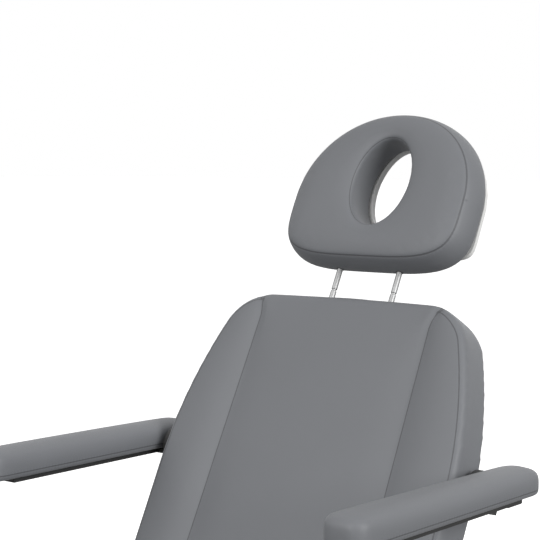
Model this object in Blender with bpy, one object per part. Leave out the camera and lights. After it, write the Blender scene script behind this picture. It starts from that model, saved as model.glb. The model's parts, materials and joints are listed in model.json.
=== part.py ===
"""Electric podiatry chair: padded back, sliding headrest, flip-up arms, split leg rests, lifting column.

Metres, +Z up. The sitter faces -Y, the sitter's left is +X. The floor is z = 0.
"""

import math

import bmesh
import bpy
from mathutils import Matrix, Vector

# Clearances
SEAT_GAP = 0.0003        # between pieces that rest on or are welded to each other
RUN_GAP = 0.0005         # between pieces that slide or turn in each other

# Making
CUT_OVERRUN = 0.010      # how far a cutter passes beyond the piece that it cuts
WELD_SINK = 0.004        # how far a welded piece sinks into the one that carries it
EDGE_BREAK = 0.002       # chamfer on turned and moulded edges

# Base
FOOT_HEIGHT = 0.018
FOOT_RADIUS = 0.024
FOOT_STUD_RADIUS = 0.006
FOOT_STUD_STANDOUT = 0.004   # above the base plate
FOOT_LIP = 0.004
FOOT_WAIST = 0.72        # share of the foot's radius just under its neck
FOOT_NECK = 0.60
FOOT_INSET = 0.065
BASE_WIDTH = 0.56
BASE_LENGTH = 0.84
BASE_CENTRE_Y = 0.035
BASE_PLATE_THICKNESS = 0.010
BASE_CORNER = 0.07
COVER_HEIGHT = 0.095
COVER_WALL = 0.004
COVER_MARGIN = 0.012     # how far the cover stands outside the plate
COVER_TAPER = 0.055      # how far its sides lean in towards the top
COVER_SECTION = ((0.0, 0.0), (0.35, 0.11), (0.72, 0.45), (0.94, 0.90), (1.0, 1.35))  # shares of height, taper
COVER_CORNER_TAPER = 0.35    # how much of the lean its corner radii take

# Lifting column
COLUMN_WIDTH = 0.17
COLUMN_DEPTH = 0.15
COLUMN_WALL = 0.004
COLUMN_CORNER = 0.022
STAGE_GAP = 0.003        # side gap between one stage and the next
COLUMN_OUTER_TOP = 0.300
COLLAR_HEIGHT = 0.015
COLLAR_MARGIN = 0.005
COLLAR_CHAMFER = 0.004
STAGE_RISE = 0.030       # how far each stage shows above the collar below it
TOP_STAGE_EXTRA = 0.015  # how much further the top stage shows
STAGE_FOOT_STEP = 0.020  # how much higher the foot of each inner stage hangs
LIFT_MOTOR_RADIUS = 0.046
LIFT_MOTOR_HEIGHT = 0.056
LIFT_MOTOR_SHOULDER = 0.70   # share of its height where it starts to narrow
LIFT_MOTOR_NECK = 0.60
STAGE_FOOT_SHARE = 0.40  # the middle stage's foot, as a share of the motor's height
SPINDLE_RADIUS = 0.009
SPINDLE_TOP = 0.380
PUSH_TUBE_RADIUS = 0.022
PUSH_TUBE_FOOT = 0.100

# Seat frame
HEAD_PLATE_THICKNESS = 0.010
HEAD_PLATE_MARGIN = 0.02
BEAM_WIDTH = 0.040
BEAM_HEIGHT = 0.040
BEAM_WALL = 0.003
BEAM_SPACING = 0.110
RAIL_WIDTH = 0.025
RAIL_HEIGHT = 0.040
RAIL_CENTRE_X = 0.235
RAIL_FRONT_Y = -0.255
RAIL_REAR_Y = 0.150
FRONT_TUBE_Y = -0.200
SIDE_PLATE_THICKNESS = 0.008
SIDE_PLATE_DIP = 0.042   # how far the plate hangs below the rail at the rear
SIDE_PLATE_CORNER = 0.020
SIDE_PLATE_SLOPE = 0.060
SIDE_PLATE_NOTCH = 0.022 # gap between the plate's shoulder and the back's ear
SIDE_PLATE_EAR_DROP = 0.045
SEAT_BOARD_THICKNESS = 0.015
SEAT_PAD_THICKNESS = 0.088
SEAT_PAD_HALF_WIDTH = 0.285
SEAT_PAD_FRONT_Y = -0.262
SEAT_PAD_REAR_Y = 0.168
SEAT_FRONT_CORNER = 0.050
SEAT_REAR_CORNER = 0.030
SEAT_CROWN = 0.012
BOARD_INSET = 0.018

# Back
BACK_PIVOT_Y = 0.290
BACK_PIVOT_Z = 0.500
BACK_RECLINE = math.radians(27.24)   # from upright
AXLE_RADIUS = 0.010
AXLE_HEAD_RADIUS = 0.016
AXLE_HEAD = 0.006
EAR_RADIUS = 0.021
BARREL_RADIUS = 0.017
SLEEVE_INNER_X = 0.098
BACK_TUBE_WIDTH = 0.030
BACK_TUBE_DEPTH = 0.022
BACK_TUBE_X = 0.150
BACK_TUBE_TOP = 0.520
SHELL_FOOT = 0.032
SHELL_THICKNESS = 0.014
SHELL_INSET = 0.016
SHELL_FOOT_CORNER = 0.035
SHELL_TOP_CORNER = 0.050
SHELL_SECTION = ((0.0, 0.0), (0.45, 0.002), (1.0, 0.012))   # share of thickness, drawn in
PAD_BACK = 0.025         # distance of the pad's rear face in front of the hinge axis
PAD_THICKNESS = 0.080
PAD_FOOT = -0.040
PAD_TOP = 0.625
PAD_HALF_WIDTH = 0.297
SHOULDER_HALF_WIDTH = 0.226
SHOULDER_DROP = 0.330    # length over which the sides flare to full width
PAD_TOP_CORNER = 0.062
PAD_FOOT_CORNER = 0.045
PAD_CROWN = 0.010
SEAM_HALF_WIDTH = 0.178
SEAM_DEPTH = 0.006
SEAM_MARGIN = 0.012      # least distance of a seam from the pad's edge
SEAM_SHARE = 0.60        # share of a pad's columns that lie between its seams
SIDE_DRAW = 0.004        # how far a pad's side pulls in halfway down
SIDE_SWELL = 0.0025      # how far it stands out just under the front edge
REAR_ROUND = 0.004       # rounding of a pad's rear edge
REAR_TUCK = 0.003
SWELL_HEIGHT = 0.80      # shares of a pad's edge height
DRAW_HEIGHT = 0.42

# Headrest
HEAD_FOOT = 0.6935
HEAD_HEIGHT = 0.2965
HEAD_HALF_WIDTH = 0.189
HEAD_THICKNESS = 0.060
HEAD_WAIST = 0.41        # share of its height at which it is widest
ARCH_POWER = 2.06        # superellipse power above the waist
CHIN_POWER = 3.9         # superellipse power below the waist
HEAD_CROWN = 0.007
HEAD_EDGE_INSET = 0.009  # of the front edge's seam inside the widest outline
HEAD_WALL_SHARES = (0.0, 0.16, 0.36, 0.62, 0.84, 1.0)   # rings of the side wall, from rear to front
HEAD_WIDEST_SHARE = 0.36
HEAD_FACE_SHARES = (0.30, 0.62)     # where its flat face lies, from its edge to the hole
HOLE_LIP = 0.010
HOLE_LIP_DEPTH = 0.014
HOLE_LIP_BREAK = 0.004
HOLE_HALF_WIDTH = 0.052
HOLE_HALF_HEIGHT = 0.080
HOLE_CENTRE = 0.1640     # above the headrest's lower edge
HEAD_PLATE_SIDE_INSET = 0.0055
HEAD_PLATE_TOP_INSET = 0.012
HEAD_PLATE_FOOT_INSET = 0.037
HEAD_PLATE_CHIN_POWER = 10.0  # its lower corners are squarer than the pad's
HEAD_PLATE_HOLE_MARGIN = 0.002
HEAD_PLATE_BREAK = 0.004
HEAD_BACKING = 0.012
POST_SPACING = 0.126
POST_RADIUS = 0.0052
POST_DEPTH = 0.042       # distance of the posts behind the pads' front face
POST_IN_HEAD = 0.050
POST_IN_BACK = 0.190
NOTCH_DEPTH = 0.0011
NOTCH_LENGTH = 0.004
NOTCH_COUNT = 4
NOTCH_SLOPE = 0.001
POST_FOOT_BREAK = 0.0015
NOTCH_PITCH = 0.036
NOTCH_FIRST = 0.042      # below the headrest's lower edge
GUIDE_RADIUS = 0.0095
GUIDE_LENGTH = 0.270
GUIDE_FLANGE_RADIUS = 0.015
GUIDE_FLANGE = 0.004

# Arms
ARM_PIVOT_Y = 0.400
ARM_PIVOT_Z = 0.825
ARM_MOUNT_THICKNESS = 0.006
ARM_MOUNT_X = 0.3015
ARM_PIN_RADIUS = 0.008
ARM_PIN_HEAD_RADIUS = 0.014
ARM_PIN_HEAD = 0.0035
ARM_PIN_SUNK = 0.0005    # how far the pin's head lies below the hub's face
ARM_HUB_RADIUS = 0.033
ARM_HUB_WIDTH = 0.0137
ARM_PAD_WIDTH = 0.074
ARM_PAD_FRONT_Y = -0.030
ARM_PAD_REAR_Y = 0.464
ARM_PAD_DROP = 0.004     # of the pad's foot below the pivot
ARM_PAD_HEIGHT = 0.052
ARM_PAD_FRONT_CORNER = 0.027
ARM_PAD_REAR_CORNER = 0.032
ARM_PAD_CROWN = 0.011
ARM_PAD_DRAW = 0.002
ARM_BAR_THICKNESS = 0.008
ARM_BAR_WIDTH = 0.044
ARM_BAR_FRONT_Y = 0.030
ARM_BAR_TAIL = 0.018     # how far the bar runs behind the pivot
ARM_WEB_FRONT = 0.024    # the web from the hub to the bar, before and behind the pivot
ARM_WEB_REAR = 0.016
ARM_WEB_STEP = 0.001     # how far the web lies below the bar

# Legs
LEG_PIVOT_Y = -0.276
LEG_PIVOT_Z = 0.475
LEG_DROP = math.radians(35.0)        # below horizontal
LEG_SHAFT_RADIUS = 0.009
LEG_EAR_RADIUS = 0.0195
LEG_BARREL_RADIUS = 0.016
LEG_CENTRE_X = 0.135
LEG_BARREL_LENGTH = 0.205
LEG_TRAY_WIDTH = 0.160
LEG_TRAY_THICKNESS = 0.012
LEG_TRAY_END = 0.360
LEG_TRAY_RISE = 0.012    # of the tray's middle above the shaft
LEG_RUNNER_WIDTH = 0.012
LEG_RUNNER_START = 0.090 # behind the pad's knee end
LEG_RUNNER_STOP = 0.020  # short of the tray's end
LEG_LIP = 0.005
LEG_LIP_REACH = 0.008
LEG_BOARD_CORNER = 0.060
LEG_BOARD_THICKNESS = 0.012
LEG_PAD_START = 0.046
LEG_PAD_LENGTH = 0.405
LEG_PAD_HALF_WIDTH = 0.124
LEG_PAD_THICKNESS = 0.072
LEG_PAD_CROWN = 0.010
LEG_TOE_CORNER = 0.075
LEG_KNEE_CORNER = 0.030
KNOB_RADIUS = 0.012
KNOB_LENGTH = 0.020
KNOB_SECTION = ((0.0, 0.45), (0.35, 0.45), (0.40, 1.0), (0.90, 1.0), (1.0, 0.80))   # shares of length, radius
KNOB_ALONG = 0.300

# Back actuator
ACTUATOR_X = 0.125
ACTUATOR_Y = -0.200
ACTUATOR_Z = 0.305
LEVER_LENGTH = 0.070
LEVER_MID = math.radians(42.0)       # recline at which the lever hangs straight down
LEVER_PLATE = 0.006
LEVER_END_RADIUS = 0.024
EYE_RADIUS = 0.012
EYE_WIDTH = 0.022
FORK_GAP = 0.0006
ACTUATOR_TUBE_RADIUS = 0.017
ACTUATOR_TUBE_END = 0.350
ROD_RADIUS = 0.010
ROD_LENGTH = 0.260
GEARBOX_OFFSET = 0.017
GEARBOX_LENGTH = 0.085
GEARBOX_WIDTH = 0.050
GEARBOX_HEIGHT = 0.096
MOTOR_RADIUS = 0.0213
MOTOR_LENGTH = 0.110
MOTOR_DROP = 0.048
GEARBOX_WALL = 0.012
GEARBOX_SHOULDER = 0.90  # share of its half width that stands above the rod's line
EYE_NECK = 0.80          # share of the eye's radius
LUG_MARGIN = 0.003       # how much wider a lug is than the eye that it holds

# Gas springs
GAS_X = 0.195
GAS_Y = -0.055
GAS_Z = 0.358
GAS_LEG_ALONG = 0.130
GAS_LEG_DROP = 0.034
GAS_RADIUS = 0.011
GAS_CYLINDER_END = 0.210
GAS_ROD_RADIUS = 0.005
GAS_ROD_LENGTH = 0.205
GAS_EYE_RADIUS = 0.009
GAS_LUG_RADIUS = 0.016
GAS_EYE_WIDTH = 0.010
GAS_LUG = 0.005
GAS_LUG_ROOT = 0.0208    # half the lug's width where it meets the tray
GAS_NECK_LENGTH = 0.014
GAS_SHOULDER = 0.004
GAS_BORE_START = 0.030   # past the neck
GAS_END_BREAK = 0.003
BEAM_LUG_ROOT = 0.018    # half the lugs' width where they meet the beam and the tube
TUBE_LUG_ROOT = 0.028
HINGE_PIN_RADIUS = 0.005
HINGE_PIN_HEAD_RADIUS = 0.0085
HINGE_PIN_HEAD = 0.003
PIN_HEAD_SINK = 0.001

# Mains inlet on the rear of the base
INLET_WIDTH = 0.050
INLET_HEIGHT = 0.028
INLET_DEPTH = 0.026
INLET_RECESS = 0.004     # of the inlet's face inside the cover's foot
INLET_HEIGHT_SHARE = 0.36    # its middle, as a share of the cover's height
INLET_SIDE_RIM = 0.010
INLET_TOP_RIM = 0.006
INLET_WELL = 0.016

ROUND = 24
SMALL_ROUND = 16
SIDES = (("left", 1), ("right", -1))

# Heights and places that follow from the sizes above
PLATE_FOOT = FOOT_HEIGHT + SEAT_GAP
PLATE_TOP = PLATE_FOOT + BASE_PLATE_THICKNESS
COVER_FOOT = PLATE_TOP + SEAT_GAP
COLUMN_FOOT = PLATE_TOP + SEAT_GAP
COLLAR_LOW_FOOT = COLUMN_OUTER_TOP + SEAT_GAP
MID_TOP = COLLAR_LOW_FOOT + COLLAR_HEIGHT + STAGE_RISE
COLLAR_HIGH_FOOT = MID_TOP + SEAT_GAP
TOP_TOP = COLLAR_HIGH_FOOT + COLLAR_HEIGHT + STAGE_RISE + TOP_STAGE_EXTRA
HEAD_PLATE_FOOT = TOP_TOP + SEAT_GAP
BEAM_FOOT = HEAD_PLATE_FOOT + HEAD_PLATE_THICKNESS + SEAT_GAP
RAIL_FOOT = BEAM_FOOT + BEAM_HEIGHT + SEAT_GAP
RAIL_TOP = RAIL_FOOT + RAIL_HEIGHT
BOARD_FOOT = RAIL_TOP + SEAT_GAP
SEAT_PAD_FOOT = BOARD_FOOT + SEAT_BOARD_THICKNESS + SEAT_GAP
SIDE_PLATE_X = RAIL_CENTRE_X + RAIL_WIDTH / 2 + SEAT_GAP
BACK_PIVOT = Vector((0, BACK_PIVOT_Y, BACK_PIVOT_Z))
LEG_PIVOT = Vector((0, LEG_PIVOT_Y, LEG_PIVOT_Z))
PAD_FRONT = PAD_BACK + PAD_THICKNESS
POST_PLANE = PAD_FRONT - POST_DEPTH
LEG_TRAY_FOOT = LEG_TRAY_RISE - LEG_TRAY_THICKNESS / 2
LEG_BOARD_FOOT = LEG_TRAY_FOOT + LEG_TRAY_THICKNESS + RUN_GAP
LEG_PAD_FOOT = LEG_BOARD_FOOT + LEG_BOARD_THICKNESS + SEAT_GAP

SEAM_GROOVE = (SEAM_HALF_WIDTH, SEAM_DEPTH, SEAM_SHARE)
SEAMED_COLUMNS = (0.2, 0.4, SEAM_SHARE - 0.03, SEAM_SHARE, SEAM_SHARE + 0.03, 0.76, 0.88, 1.0)
PLAIN_COLUMNS = (0.35, 0.65, 0.85, 1.0)
ARM_COLUMNS = (0.45, 0.80, 1.0)

materials = {}


def clear_scene():
    for obj in list(bpy.data.objects):
        bpy.data.objects.remove(obj, do_unlink=True)


def material(name, colour, roughness, metallic=0.0):
    made = bpy.data.materials.new(name)
    made.use_nodes = True
    shader = made.node_tree.nodes["Principled BSDF"]
    shader.inputs["Base Color"].default_value = (*colour, 1.0)
    shader.inputs["Roughness"].default_value = roughness
    shader.inputs["Metallic"].default_value = metallic
    materials[name] = made


def make_materials():
    material("grey_leatherette", (0.20, 0.205, 0.22), 0.5)
    material("white_plastic", (0.82, 0.82, 0.81), 0.35)
    material("white_paint", (0.78, 0.78, 0.77), 0.4)
    material("chrome", (0.75, 0.75, 0.76), 0.12, 1.0)
    material("black_plastic", (0.02, 0.02, 0.021), 0.45)
    material("dark_paint", (0.06, 0.06, 0.065), 0.45)
    material("zinc_steel", (0.55, 0.55, 0.56), 0.35, 1.0)
    material("rubber", (0.03, 0.03, 0.03), 0.8)


# Mesh helpers

def finish_object(name, bm, finish, parent=None, smooth=True):
    bmesh.ops.recalc_face_normals(bm, faces=bm.faces)
    mesh = bpy.data.meshes.new(name)
    bm.to_mesh(mesh)
    bm.free()
    if smooth:
        mesh.shade_smooth()
        mesh.set_sharp_from_angle(angle=math.radians(35))
    mesh.materials.append(materials[finish])
    obj = bpy.data.objects.new(name, mesh)
    bpy.context.scene.collection.objects.link(obj)
    obj.parent = parent
    return obj


def loft(loops, ring=False):
    """Bridges point loops of equal length. A ring joins last to first, or else the ends are capped."""
    bm = bmesh.new()
    rows = [[bm.verts.new(point) for point in loop] for loop in loops]
    count = len(rows[0])
    pairs = list(zip(rows, rows[1:]))
    if ring:
        pairs.append((rows[-1], rows[0]))
    for low, high in pairs:
        for i in range(count):
            j = (i + 1) % count
            bm.faces.new((low[i], low[j], high[j], high[i]))
    if not ring:
        bm.faces.new(rows[0])
        bm.faces.new(rows[-1])
    return bm


def axis_frame(start, end):
    """Two unit vectors square to the line from start to end, and the line's own direction."""
    along = (Vector(end) - Vector(start)).normalized()
    side = along.orthogonal().normalized()
    return side, along.cross(side), along


def turned(profile, start, end, ring=False, count=ROUND):
    """A round solid about the line from start to end. The profile lists (distance along, radius)."""
    side, up, along = axis_frame(start, end)
    loops = []
    for distance, radius in profile:
        centre = Vector(start) + along * distance
        angles = [2 * math.pi * i / count for i in range(count)]
        loops.append([centre + radius * (math.cos(a) * side + math.sin(a) * up) for a in angles])
    return loft(loops, ring)


def rod(start, end, radius, count=ROUND):
    length = (Vector(end) - Vector(start)).length
    return turned([(0, radius), (length, radius)], start, end, count=count)


def pipe(start, end, outer, inner, count=ROUND):
    length = (Vector(end) - Vector(start)).length
    return turned([(0, inner), (0, outer), (length, outer), (length, inner)], start, end, True, count)


def rounded_rectangle(width, depth, corner, z, centre_y=0.0, steps=5):
    points = []
    for quarter, (sx, sy) in enumerate(((1, 1), (-1, 1), (-1, -1), (1, -1))):
        cx = sx * (width / 2 - corner)
        cy = centre_y + sy * (depth / 2 - corner)
        for step in range(steps + 1):
            angle = math.pi / 2 * (quarter + step / steps)
            points.append(Vector((cx + corner * math.cos(angle), cy + corner * math.sin(angle), z)))
    return points


def arc(centre, radius, start, end, steps):
    """Points on an arc in a plane, from one angle in degrees to another."""
    points = []
    for step in range(steps + 1):
        angle = math.radians(start + (end - start) * step / steps)
        points.append((centre[0] + radius * math.cos(angle), centre[1] + radius * math.sin(angle)))
    return points


def plate(outline, low_x, high_x):
    """A flat plate parallel to the YZ plane from an outline of (y, z) points."""
    return loft([[Vector((x, y, z)) for y, z in outline] for x in (low_x, high_x)])


def slab(outline, low_z, high_z):
    """A flat slab parallel to the XY plane from an outline of (x, y) points."""
    return loft([[Vector((x, y, z)) for x, y in outline] for z in (low_z, high_z)])


def box(low, high):
    outline = ((low[0], low[1]), (high[0], low[1]), (high[0], high[1]), (low[0], high[1]))
    return slab(outline, low[2], high[2])


def helper(name, bm, parent=None):
    """A hidden solid that a Boolean cuts away or joins on."""
    obj = finish_object(name, bm, "dark_paint", parent, smooth=False)
    obj.hide_render = True
    obj.display_type = "WIRE"
    return obj


def combine(obj, operation, bm, parent=None):
    other = helper(f"{obj.name}_{operation.lower()}_{len(obj.modifiers)}", bm, parent)
    modifier = obj.modifiers.new(operation.lower(), "BOOLEAN")
    modifier.operation = operation
    modifier.solver = "EXACT"
    modifier.object = other


def cut(obj, bm, parent=None):
    combine(obj, "DIFFERENCE", bm, parent)


def weld(obj, bm, parent=None):
    combine(obj, "UNION", bm, parent)


def pivot(name, location, turn_x=0.0, parent=None):
    empty = bpy.data.objects.new(name, None)
    bpy.context.scene.collection.objects.link(empty)
    empty.location = location
    empty.rotation_euler = (turn_x, 0, 0)
    empty.parent = parent
    return empty


# Padded forms

def mirrored(shares):
    """Places across a pad from edge to edge, from those on one half of it."""
    return [-share for share in reversed(shares)] + [0.0] + list(shares)


def smooth_step(x):
    x = min(1.0, max(0.0, x))
    return x * x * (3 - 2 * x)


def padded(rows, columns, thickness, crown, draw, groove=None):
    """A cushion lying on z = 0: a crowned front grid, sides that draw in halfway, and a flat rear.

    rows lists (y, half width). columns lists places across as shares from -1 to 1, or, between the
    grooves, as shares of the groove's own half width when groove = (half width, depth, columns inside).
    """
    edge = thickness - crown
    first, last = rows[0][0], rows[-1][0]

    def across(share, half):
        if groove is None:
            return share * half
        inner = groove[2]
        place = min(groove[0], half - SEAM_MARGIN)
        if abs(share) <= inner:
            return share / inner * place
        return math.copysign(place + (abs(share) - inner) / (1 - inner) * (half - place), share)

    def rise(share, part):
        swell = (1 - abs(share) ** 3) * (1 - abs(2 * part - 1) ** 4)
        dip = 0.0
        if groove is not None and abs(abs(share) - groove[2]) < 1e-6:
            dip = groove[1] * smooth_step((1 - part) * 9)
        return edge + crown * swell - dip

    grid = []
    for y, half in rows:
        part = (y - first) / (last - first)
        grid.append([Vector((across(s, half), y, rise(s, part))) for s in columns])
    bm = bmesh.new()
    verts = [[bm.verts.new(point) for point in row] for row in grid]
    for low, high in zip(verts, verts[1:]):
        for i in range(len(columns) - 1):
            bm.faces.new((low[i], low[i + 1], high[i + 1], high[i]))
    border = verts[0] + [row[-1] for row in verts[1:-1]] + verts[-1][::-1]
    border += [row[0] for row in verts[-2:0:-1]]
    outward = []
    for before, after in zip(border[-1:] + border[:-1], border[1:] + border[:1]):
        run = after.co - before.co
        outward.append(Vector((run.y, -run.x, 0)).normalized())
    levels = ((edge * SWELL_HEIGHT, SIDE_SWELL), (edge * DRAW_HEIGHT, -draw),
              (REAR_ROUND, 0.0), (0.0, -REAR_TUCK))
    previous = border
    for height, swell in levels:
        current = []
        for vert, normal in zip(border, outward):
            place = vert.co + normal * swell
            current.append(bm.verts.new((place.x, place.y, height)))
        for i in range(len(border)):
            j = (i + 1) % len(border)
            bm.faces.new((previous[j], previous[i], current[i], current[j]))
        previous = current
    bm.faces.new(previous)
    return bm


def corner_trim(distance, corner):
    """How much narrower a rounded corner makes the half width, this far from the end."""
    if distance >= corner:
        return 0.0
    return corner - math.sqrt(max(0.0, corner ** 2 - (corner - distance) ** 2))


def row_places(start, end, start_corner, end_corner, middle):
    """Places along a pad: close together round its corners, even between them."""
    shares = (0.0, 0.06, 0.22, 0.5)
    low = [start + start_corner * s for s in shares]
    high = [end - end_corner * s for s in reversed(shares)]
    span_low, span_high = start + start_corner, end - end_corner
    return low + [span_low + (span_high - span_low) * i / middle for i in range(middle + 1)] + high


def pad_rows(start, end, half_width, start_corner, end_corner, middle):
    rows = []
    for y in row_places(start, end, start_corner, end_corner, middle):
        trim = corner_trim(y - start, start_corner) + corner_trim(end - y, end_corner)
        rows.append((y, half_width(y) - trim))
    return rows


def stand_up(bm, foot):
    """Turns a cushion lying on z = 0 to stand along +Z, its front towards -Y and its rear at y = -foot."""
    bmesh.ops.transform(bm, matrix=Matrix.Rotation(math.pi / 2, 4, "X"), verts=bm.verts)
    bmesh.ops.translate(bm, vec=(0, -foot, 0), verts=bm.verts)
    return bm


# Base and column

def foot_places():
    half_x = BASE_WIDTH / 2 - FOOT_INSET
    half_y = BASE_LENGTH / 2 - FOOT_INSET
    return {
        f"foot_{end}_{side}": (sign * half_x, BASE_CENTRE_Y + way * half_y)
        for end, way in (("front", -1), ("rear", 1)) for side, sign in SIDES
    }


def make_base():
    loops = [rounded_rectangle(BASE_WIDTH, BASE_LENGTH, BASE_CORNER, z, BASE_CENTRE_Y)
             for z in (PLATE_FOOT, PLATE_TOP)]
    base_plate = finish_object("base_plate", loft(loops), "dark_paint")
    stud_top = PLATE_TOP + FOOT_STUD_STANDOUT
    for name, (x, y) in foot_places().items():
        profile = [(0, FOOT_RADIUS - EDGE_BREAK), (FOOT_LIP, FOOT_RADIUS),
                   (FOOT_HEIGHT - FOOT_LIP, FOOT_RADIUS * FOOT_WAIST), (FOOT_HEIGHT, FOOT_RADIUS * FOOT_NECK),
                   (FOOT_HEIGHT, FOOT_STUD_RADIUS), (stud_top, FOOT_STUD_RADIUS)]
        finish_object(name, turned(profile, (x, y, 0), (x, y, 1), count=SMALL_ROUND), "rubber")
        hole_top = (x, y, stud_top + CUT_OVERRUN)
        cut(base_plate, rod((x, y, 0), hole_top, FOOT_STUD_RADIUS + RUN_GAP, SMALL_ROUND))
    make_base_cover()


def make_base_cover():
    width = BASE_WIDTH + 2 * COVER_MARGIN
    length = BASE_LENGTH + 2 * COVER_MARGIN
    hole_x = COLUMN_WIDTH + 2 * RUN_GAP
    hole_y = COLUMN_DEPTH + 2 * RUN_GAP
    top = COVER_FOOT + COVER_HEIGHT
    corner = BASE_CORNER + COVER_MARGIN

    def level(height_share, taper_share, wall=0.0):
        inset = COVER_TAPER * taper_share + wall
        z = COVER_FOOT + COVER_HEIGHT * height_share - (wall if height_share > COVER_SECTION[2][0] else 0.0)
        radius = corner - inset * COVER_CORNER_TAPER
        return rounded_rectangle(width - 2 * inset, length - 2 * inset, radius, z, BASE_CENTRE_Y)

    collar = [rounded_rectangle(hole_x, hole_y, COLUMN_CORNER, z) for z in (top, top - COVER_WALL)]
    outside = [level(*shares) for shares in COVER_SECTION]
    inside = [level(*shares, COVER_WALL) for shares in reversed(COVER_SECTION)]
    cover = finish_object("base_cover", loft(outside + collar + inside, ring=True), "white_plastic")
    make_power_inlet(cover, BASE_CENTRE_Y + length / 2)


def make_power_inlet(cover, rear):
    """The mains inlet let into the cover's rear wall."""
    z = COVER_FOOT + COVER_HEIGHT * INLET_HEIGHT_SHARE
    half_x, half_z = INLET_WIDTH / 2, INLET_HEIGHT / 2
    face = rear - INLET_RECESS
    cut(cover, box((-half_x - RUN_GAP, face - INLET_DEPTH - CUT_OVERRUN, z - half_z - RUN_GAP),
                   (half_x + RUN_GAP, rear + CUT_OVERRUN, z + half_z + RUN_GAP)))
    body = box((-half_x, face - INLET_DEPTH, z - half_z), (half_x, face, z + half_z))
    inlet = finish_object("power_inlet", body, "black_plastic", smooth=False)
    cut(inlet, box((-half_x + INLET_SIDE_RIM, face - INLET_WELL, z - half_z + INLET_TOP_RIM),
                   (half_x - INLET_SIDE_RIM, rear + CUT_OVERRUN, z + half_z - INLET_TOP_RIM)))


def column_stage(name, stage, foot, top, finish):
    """One telescopic tube of the column, each stage smaller than the one around it."""
    shrink = 2 * stage * (COLUMN_WALL + STAGE_GAP)
    width, depth = COLUMN_WIDTH - shrink, COLUMN_DEPTH - shrink
    corner = COLUMN_CORNER - stage * COLUMN_WALL
    wall = 2 * COLUMN_WALL
    outer = [rounded_rectangle(width, depth, corner, z) for z in (foot, top)]
    inner = [rounded_rectangle(width - wall, depth - wall, corner - COLUMN_WALL, z) for z in (top, foot)]
    return finish_object(name, loft(outer + inner, ring=True), finish)


def column_collar(name, stage, foot):
    """The wiper ring on top of one stage, which guides the stage that slides through it."""
    outside = 2 * COLLAR_MARGIN - 2 * stage * (COLUMN_WALL + STAGE_GAP)
    inside = 2 * RUN_GAP - 2 * (stage + 1) * (COLUMN_WALL + STAGE_GAP)
    corner = COLUMN_CORNER - stage * COLUMN_WALL

    def level(grow, radius, z):
        return rounded_rectangle(COLUMN_WIDTH + grow, COLUMN_DEPTH + grow, radius, z)

    chamfer = COLLAR_CHAMFER
    loops = [level(outside, corner + COLLAR_MARGIN, foot),
             level(outside, corner + COLLAR_MARGIN, foot + COLLAR_HEIGHT - chamfer),
             level(outside - 2 * chamfer, corner + COLLAR_MARGIN - chamfer, foot + COLLAR_HEIGHT),
             level(inside, corner - COLUMN_WALL, foot + COLLAR_HEIGHT),
             level(inside, corner - COLUMN_WALL, foot)]
    finish_object(name, loft(loops, ring=True), "black_plastic")


def make_column():
    mid_foot = COLUMN_FOOT + LIFT_MOTOR_HEIGHT * STAGE_FOOT_SHARE
    column_stage("column_outer", 0, COLUMN_FOOT, COLUMN_OUTER_TOP, "white_paint")
    column_collar("column_collar_lower", 0, COLLAR_LOW_FOOT)
    column_stage("column_mid", 1, mid_foot, MID_TOP, "white_paint")
    column_collar("column_collar_upper", 1, COLLAR_HIGH_FOOT)
    column_stage("column_top", 2, mid_foot + STAGE_FOOT_STEP, TOP_TOP, "white_paint")
    motor_top = COLUMN_FOOT + LIFT_MOTOR_HEIGHT
    motor = [(0, LIFT_MOTOR_RADIUS), (LIFT_MOTOR_HEIGHT * LIFT_MOTOR_SHOULDER, LIFT_MOTOR_RADIUS),
             (LIFT_MOTOR_HEIGHT, LIFT_MOTOR_RADIUS * LIFT_MOTOR_NECK)]
    finish_object("lift_motor", turned(motor, (0, 0, COLUMN_FOOT), (0, 0, 1)), "dark_paint")
    spindle = rod((0, 0, motor_top + SEAT_GAP), (0, 0, SPINDLE_TOP), SPINDLE_RADIUS)
    finish_object("lift_spindle", spindle, "zinc_steel")
    push_tube = pipe((0, 0, PUSH_TUBE_FOOT), (0, 0, TOP_TOP), PUSH_TUBE_RADIUS, SPINDLE_RADIUS + RUN_GAP)
    finish_object("lift_push_tube", push_tube, "zinc_steel")


# Seat

def hollow_beam(low, high, wall, along):
    """A rectangular tube with open ends. along is 0 for a tube along X, 1 for one along Y."""
    across = 1 - along

    def section(grow, place):
        low_a, high_a = low[across] + grow, high[across] - grow
        low_z, high_z = low[2] + grow, high[2] - grow
        points = []
        for a, z in ((low_a, low_z), (high_a, low_z), (high_a, high_z), (low_a, high_z)):
            points.append(Vector((place, a, z) if along == 0 else (a, place, z)))
        return points

    ends = (low[along], high[along])
    loops = [section(0, ends[0]), section(0, ends[1]), section(wall, ends[1]), section(wall, ends[0])]
    return loft(loops, ring=True)


def hinge_pin(x, y, z, gap, thickness):
    """A pin through a pair of lugs, with a head on the outside of each."""
    half = gap + thickness + HINGE_PIN_HEAD
    head, length = HINGE_PIN_HEAD + PIN_HEAD_SINK, 2 * half
    profile = [(0, HINGE_PIN_HEAD_RADIUS), (head, HINGE_PIN_HEAD_RADIUS), (head, HINGE_PIN_RADIUS),
               (length - head, HINGE_PIN_RADIUS), (length - head, HINGE_PIN_HEAD_RADIUS),
               (length, HINGE_PIN_HEAD_RADIUS)]
    start = Vector((x - half, y, z))
    return turned(profile, start, start + Vector((1, 0, 0)), count=SMALL_ROUND)


def pin_heads(x, y, z, gap, thickness):
    """The two heads of a pin on the outsides of a pair of lugs."""
    heads = []
    for sign in (-1, 1):
        near, far = (x + sign * (gap + thickness + reach) for reach in (-PIN_HEAD_SINK, HINGE_PIN_HEAD))
        heads.append(rod((near, y, z), (far, y, z), HINGE_PIN_HEAD_RADIUS, SMALL_ROUND))
    return heads


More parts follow.
